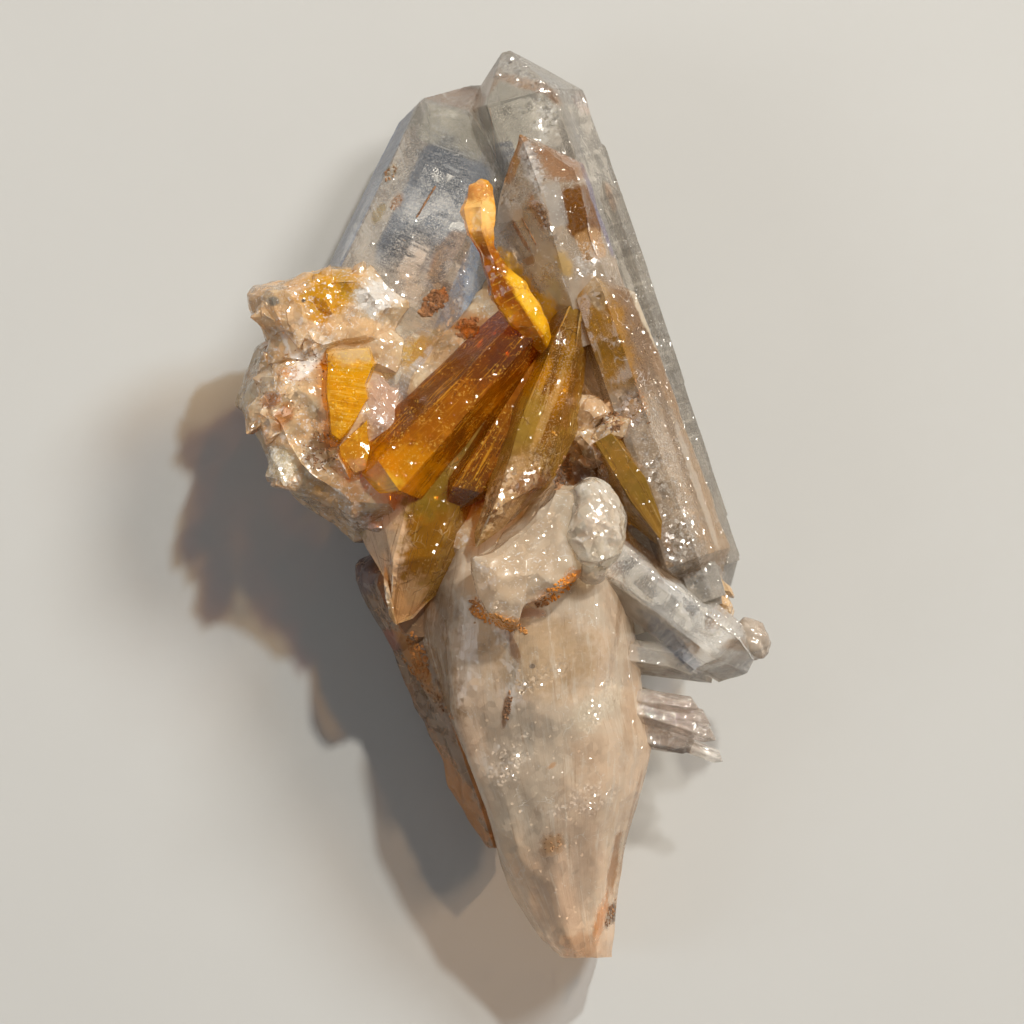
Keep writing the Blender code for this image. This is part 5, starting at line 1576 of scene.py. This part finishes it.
class SPECIMEN_OT_inner_veils(bpy.types.Operator):
    """Makes the thin sheets of fine cracks and frost inside the clear crystals"""

    bl_idname = "specimen.inner_veils"
    bl_label = "Inner veils"

    def execute(self, context):
        material = make_veil_material()
        for number, (name, heading, corners) in enumerate(VEILS, 1):
            sheet = np.array(corners)
            low = sheet - np.array([0.0, 0.0, VEIL_THICKNESS])
            rings = [[sheet[0], sheet[1], low[1], low[0]], [sheet[3], sheet[2], low[2], low[3]]]
            grid = crystal_grid(on_axis(heading, rings), 0.5, worn=0.01)
            rise = 0.22 * waves(grid.reshape(-1, 3) * (1.0, 1.0, 0.0), 5.0, 300 + number, octaves=2)
            grid[..., 2] += rise.reshape(grid.shape[:2])
            dress(skin(f"veil_{name}", grid), material)
        return {"FINISHED"}


def make_veil_material():
    """White frost that only shows in specks and wisps; the rest of the sheet lets everything through."""
    veil = Finish("inner_frost", "eeeae2", roughness=0.35, see_through=0,
                  lamp_tint=0)
    wisps = veil.pattern("cloud", Grain=420, Cover=0.48, Softness=0.06)["Mask"]
    specks = veil.pattern("frost", Grain=6000, Cover=0.42, Patch=300, Spread=0.52)["Mask"]
    either = veil.maths("MAXIMUM", veil.maths("MULTIPLY", wisps, 0.5), specks)
    veil.fill(veil.shader.inputs["Alpha"], either)
    return veil.done()


class SPECIMEN_OT_iron_crust(bpy.types.Operator):
    """Makes the rusty crumbs and needles on the faces and in the gaps between the crystals"""

    bl_idname = "specimen.iron_crust"
    bl_label = "Iron crust"

    def execute(self, context):
        iron = Finish("iron_crust_grain", colours().iron, roughness=0.75, see_through=0, lamp_tint=0)
        iron.cloud("ba8a5e", grain=900, cover=0.48, strength=0.8)
        iron.cloud("3c281a", grain=1300, cover=0.38)
        iron.zones(((6.6, -7.6, 2.6, 1.8, 40, "e28c22", 0.9), (0.2, -11.4, 3.6, 1.4, -15, "ce8a3c", 0.8),
                    (-8.4, -15.4, 3, 1.6, -60, "be7422", 0.7)))
        iron.facets(5000, 0.4)
        material = iron.done()
        for number, (x, y, length, width, turn, count, size, long) in enumerate(CRUSTS, 1):
            chance = np.random.default_rng(400 + number)
            angle, share = chance.uniform(0.0, 2.0 * math.pi, count), np.sqrt(chance.uniform(0.0, 1.0, count))
            along, across = length * share * np.cos(angle), width * share * np.sin(angle)
            c, s = math.cos(math.radians(turn)), math.sin(math.radians(turn))
            found = ground_below(np.stack([x + along * c - across * s, y + along * s + across * c], axis=1))
            sizes = size * chance.uniform(0.4, 1.0, len(found))
            piece = crumbs(f"iron_crust_{number}", found[:, 0], found[:, 1], sizes,
                           chance.uniform(1.0, long, len(found)), 500 + number)
            dress(piece, material)
        for number, (x0, y0, x1, y1, size) in enumerate(NEEDLES, 1):
            share = np.linspace(0.0, 1.0, 24)[:, None]
            found = ground_below(np.array([[x0, y0]]) * (1.0 - share) + np.array([[x1, y1]]) * share)
            piece = crumbs(f"iron_needle_{number}", found[:, 0], found[:, 1], np.full(len(found), size),
                           np.full(len(found), 1.4), 600 + number)
            dress(piece, material)
        return {"FINISHED"}


class SPECIMEN_OT_stage(bpy.types.Operator):
    """Makes the pale floor, the soft lights and the camera that looks straight down"""

    bl_idname = "specimen.stage"
    bl_label = "Floor, lights and camera"

    def execute(self, context):
        make_floor()
        make_lights()
        make_camera()
        set_rendering(context.scene)
        return {"FINISHED"}


FLOOR_GRAIN = 40.0  # waves for each metre of the floor's marks
FLOOR_SHADE = 0.94  # how light the darkest mark is, as a share of the floor


def make_floor():
    """A flat square with faint, wide marks."""
    side = bpy.context.scene.specimen_sizes.floor_side / 2.0
    mesh = bpy.data.meshes.new("floor")
    mesh.from_pydata([(-side, -side, 0.0), (side, -side, 0.0), (side, side, 0.0), (-side, side, 0.0)], [],
                     [(0, 1, 2, 3)])
    floor = placed("floor", mesh)
    material = bpy.data.materials.new("floor_paper")
    material.use_nodes = True
    nodes = Nodes(material.node_tree)
    marks = nodes.noise(nodes.add("TexCoord").outputs["Object"], FLOOR_GRAIN, 6.0)
    plain = tuple(colours().floor) + (1.0,)
    darker = tuple(FLOOR_SHADE * c for c in colours().floor) + (1.0,)
    shader = nodes.tree.nodes["Principled BSDF"]
    nodes.fill(shader.inputs["Base Color"], nodes.blend(marks, darker, plain))
    shader.inputs["Roughness"].default_value = 0.85
    mesh.materials.append(material)


# Soft lamps: name, place, side in metres, power in watts and colour.
LAMPS = (
    ("key_softbox", (0.75, 0.65, 0.80), 0.36, 13.0, (1.0, 0.96, 0.90)),
    ("fill_softbox", (-0.85, -0.15, 0.60), 0.50, 1.8, (0.90, 0.95, 1.0)),
    ("sun_lamp", (0.42, 0.78, 1.00), 0.07, 13.0, (1.0, 0.95, 0.86)),
)
LAMP_AIM = (0.0, 0.0, 0.01)
STUDIO_AIR = (0.92, 0.91, 0.90, 1.0)
AIR_STRENGTH = 0.17


def make_lights():
    for name, place, side, power, colour in LAMPS:
        data = bpy.data.lights.new(name, "AREA")
        data.shape = "DISK"
        data.size = side
        data.energy = power
        data.color = colour
        lamp = placed(name, data)
        lamp.location = place
        lamp.rotation_euler = (Vector(LAMP_AIM) - Vector(place)).to_track_quat("-Z", "Y").to_euler()
    world = bpy.data.worlds.new("studio_air")
    world.use_nodes = True
    inputs = world.node_tree.nodes["Background"].inputs
    inputs["Color"].default_value = STUDIO_AIR
    inputs["Strength"].default_value = AIR_STRENGTH
    bpy.context.scene.world = world


def make_camera():
    """Looks straight down, so that the frame is SEEN_WIDTH wide at SEEN_HEIGHT over the floor."""
    data = bpy.data.cameras.new("photo_view")
    data.sensor_width = SENSOR_MM
    data.lens = SENSOR_MM * (CAMERA_HEIGHT - SEEN_HEIGHT) / SEEN_WIDTH
    data.clip_start, data.clip_end = 0.05, 10.0
    camera = placed("photo_view", data)
    camera.location = (*CAMERA_PLAN, CAMERA_HEIGHT)
    bpy.context.scene.camera = camera


def set_rendering(scene):
    scene.view_settings.view_transform = "Standard"
    cycles = scene.cycles
    cycles.max_bounces = 8
    cycles.transmission_bounces = 7
    cycles.glossy_bounces = 4
    cycles.diffuse_bounces = 2
    cycles.transparent_max_bounces = 12
    cycles.use_adaptive_sampling = True
    cycles.adaptive_threshold = 0.05
    cycles.adaptive_min_samples = 12
    cycles.caustics_reflective = False
    cycles.caustics_refractive = False
    cycles.sample_clamp_indirect = 4.0
    cycles.use_denoising = True


class SPECIMEN_PT_panel(bpy.types.Panel):
    """Lists the settings and the steps of the specimen"""

    bl_label = "Citrine specimen"
    bl_idname = "SPECIMEN_PT_panel"
    bl_space_type = "VIEW_3D"
    bl_region_type = "UI"
    bl_category = "Specimen"

    def draw(self, context):
        for settings in (context.scene.specimen_sizes, context.scene.specimen_colours):
            box = self.layout.box()
            for name in settings.__annotations__:
                box.prop(settings, name)
        for step in STEPS:
            self.layout.operator(step.bl_idname)


STEPS = (SPECIMEN_OT_clear_points, SPECIMEN_OT_amber_crystals, SPECIMEN_OT_brown_crystals,
         SPECIMEN_OT_small_clear_crystals, SPECIMEN_OT_milky_tail, SPECIMEN_OT_rough_quartz,
         SPECIMEN_OT_rounded_lumps, SPECIMEN_OT_inner_veils, SPECIMEN_OT_iron_crust, SPECIMEN_OT_stage)
CLASSES = (SpecimenSizes, SpecimenColours) + STEPS + (SPECIMEN_PT_panel,)


def register():
    for kind in CLASSES:
        bpy.utils.register_class(kind)
    bpy.types.Scene.specimen_sizes = PointerProperty(type=SpecimenSizes)
    bpy.types.Scene.specimen_colours = PointerProperty(type=SpecimenColours)


def unregister():
    del bpy.types.Scene.specimen_colours
    del bpy.types.Scene.specimen_sizes
    for kind in reversed(CLASSES):
        bpy.utils.unregister_class(kind)


def main():
    register()
    bpy.ops.specimen.clear_points()
    bpy.ops.specimen.amber_crystals()
    bpy.ops.specimen.brown_crystals()
    bpy.ops.specimen.small_clear_crystals()
    bpy.ops.specimen.milky_tail()
    bpy.ops.specimen.rough_quartz()
    bpy.ops.specimen.rounded_lumps()
    bpy.ops.specimen.iron_crust()
    bpy.ops.specimen.inner_veils()
    bpy.ops.specimen.stage()


if __name__ == "__main__":
    main()
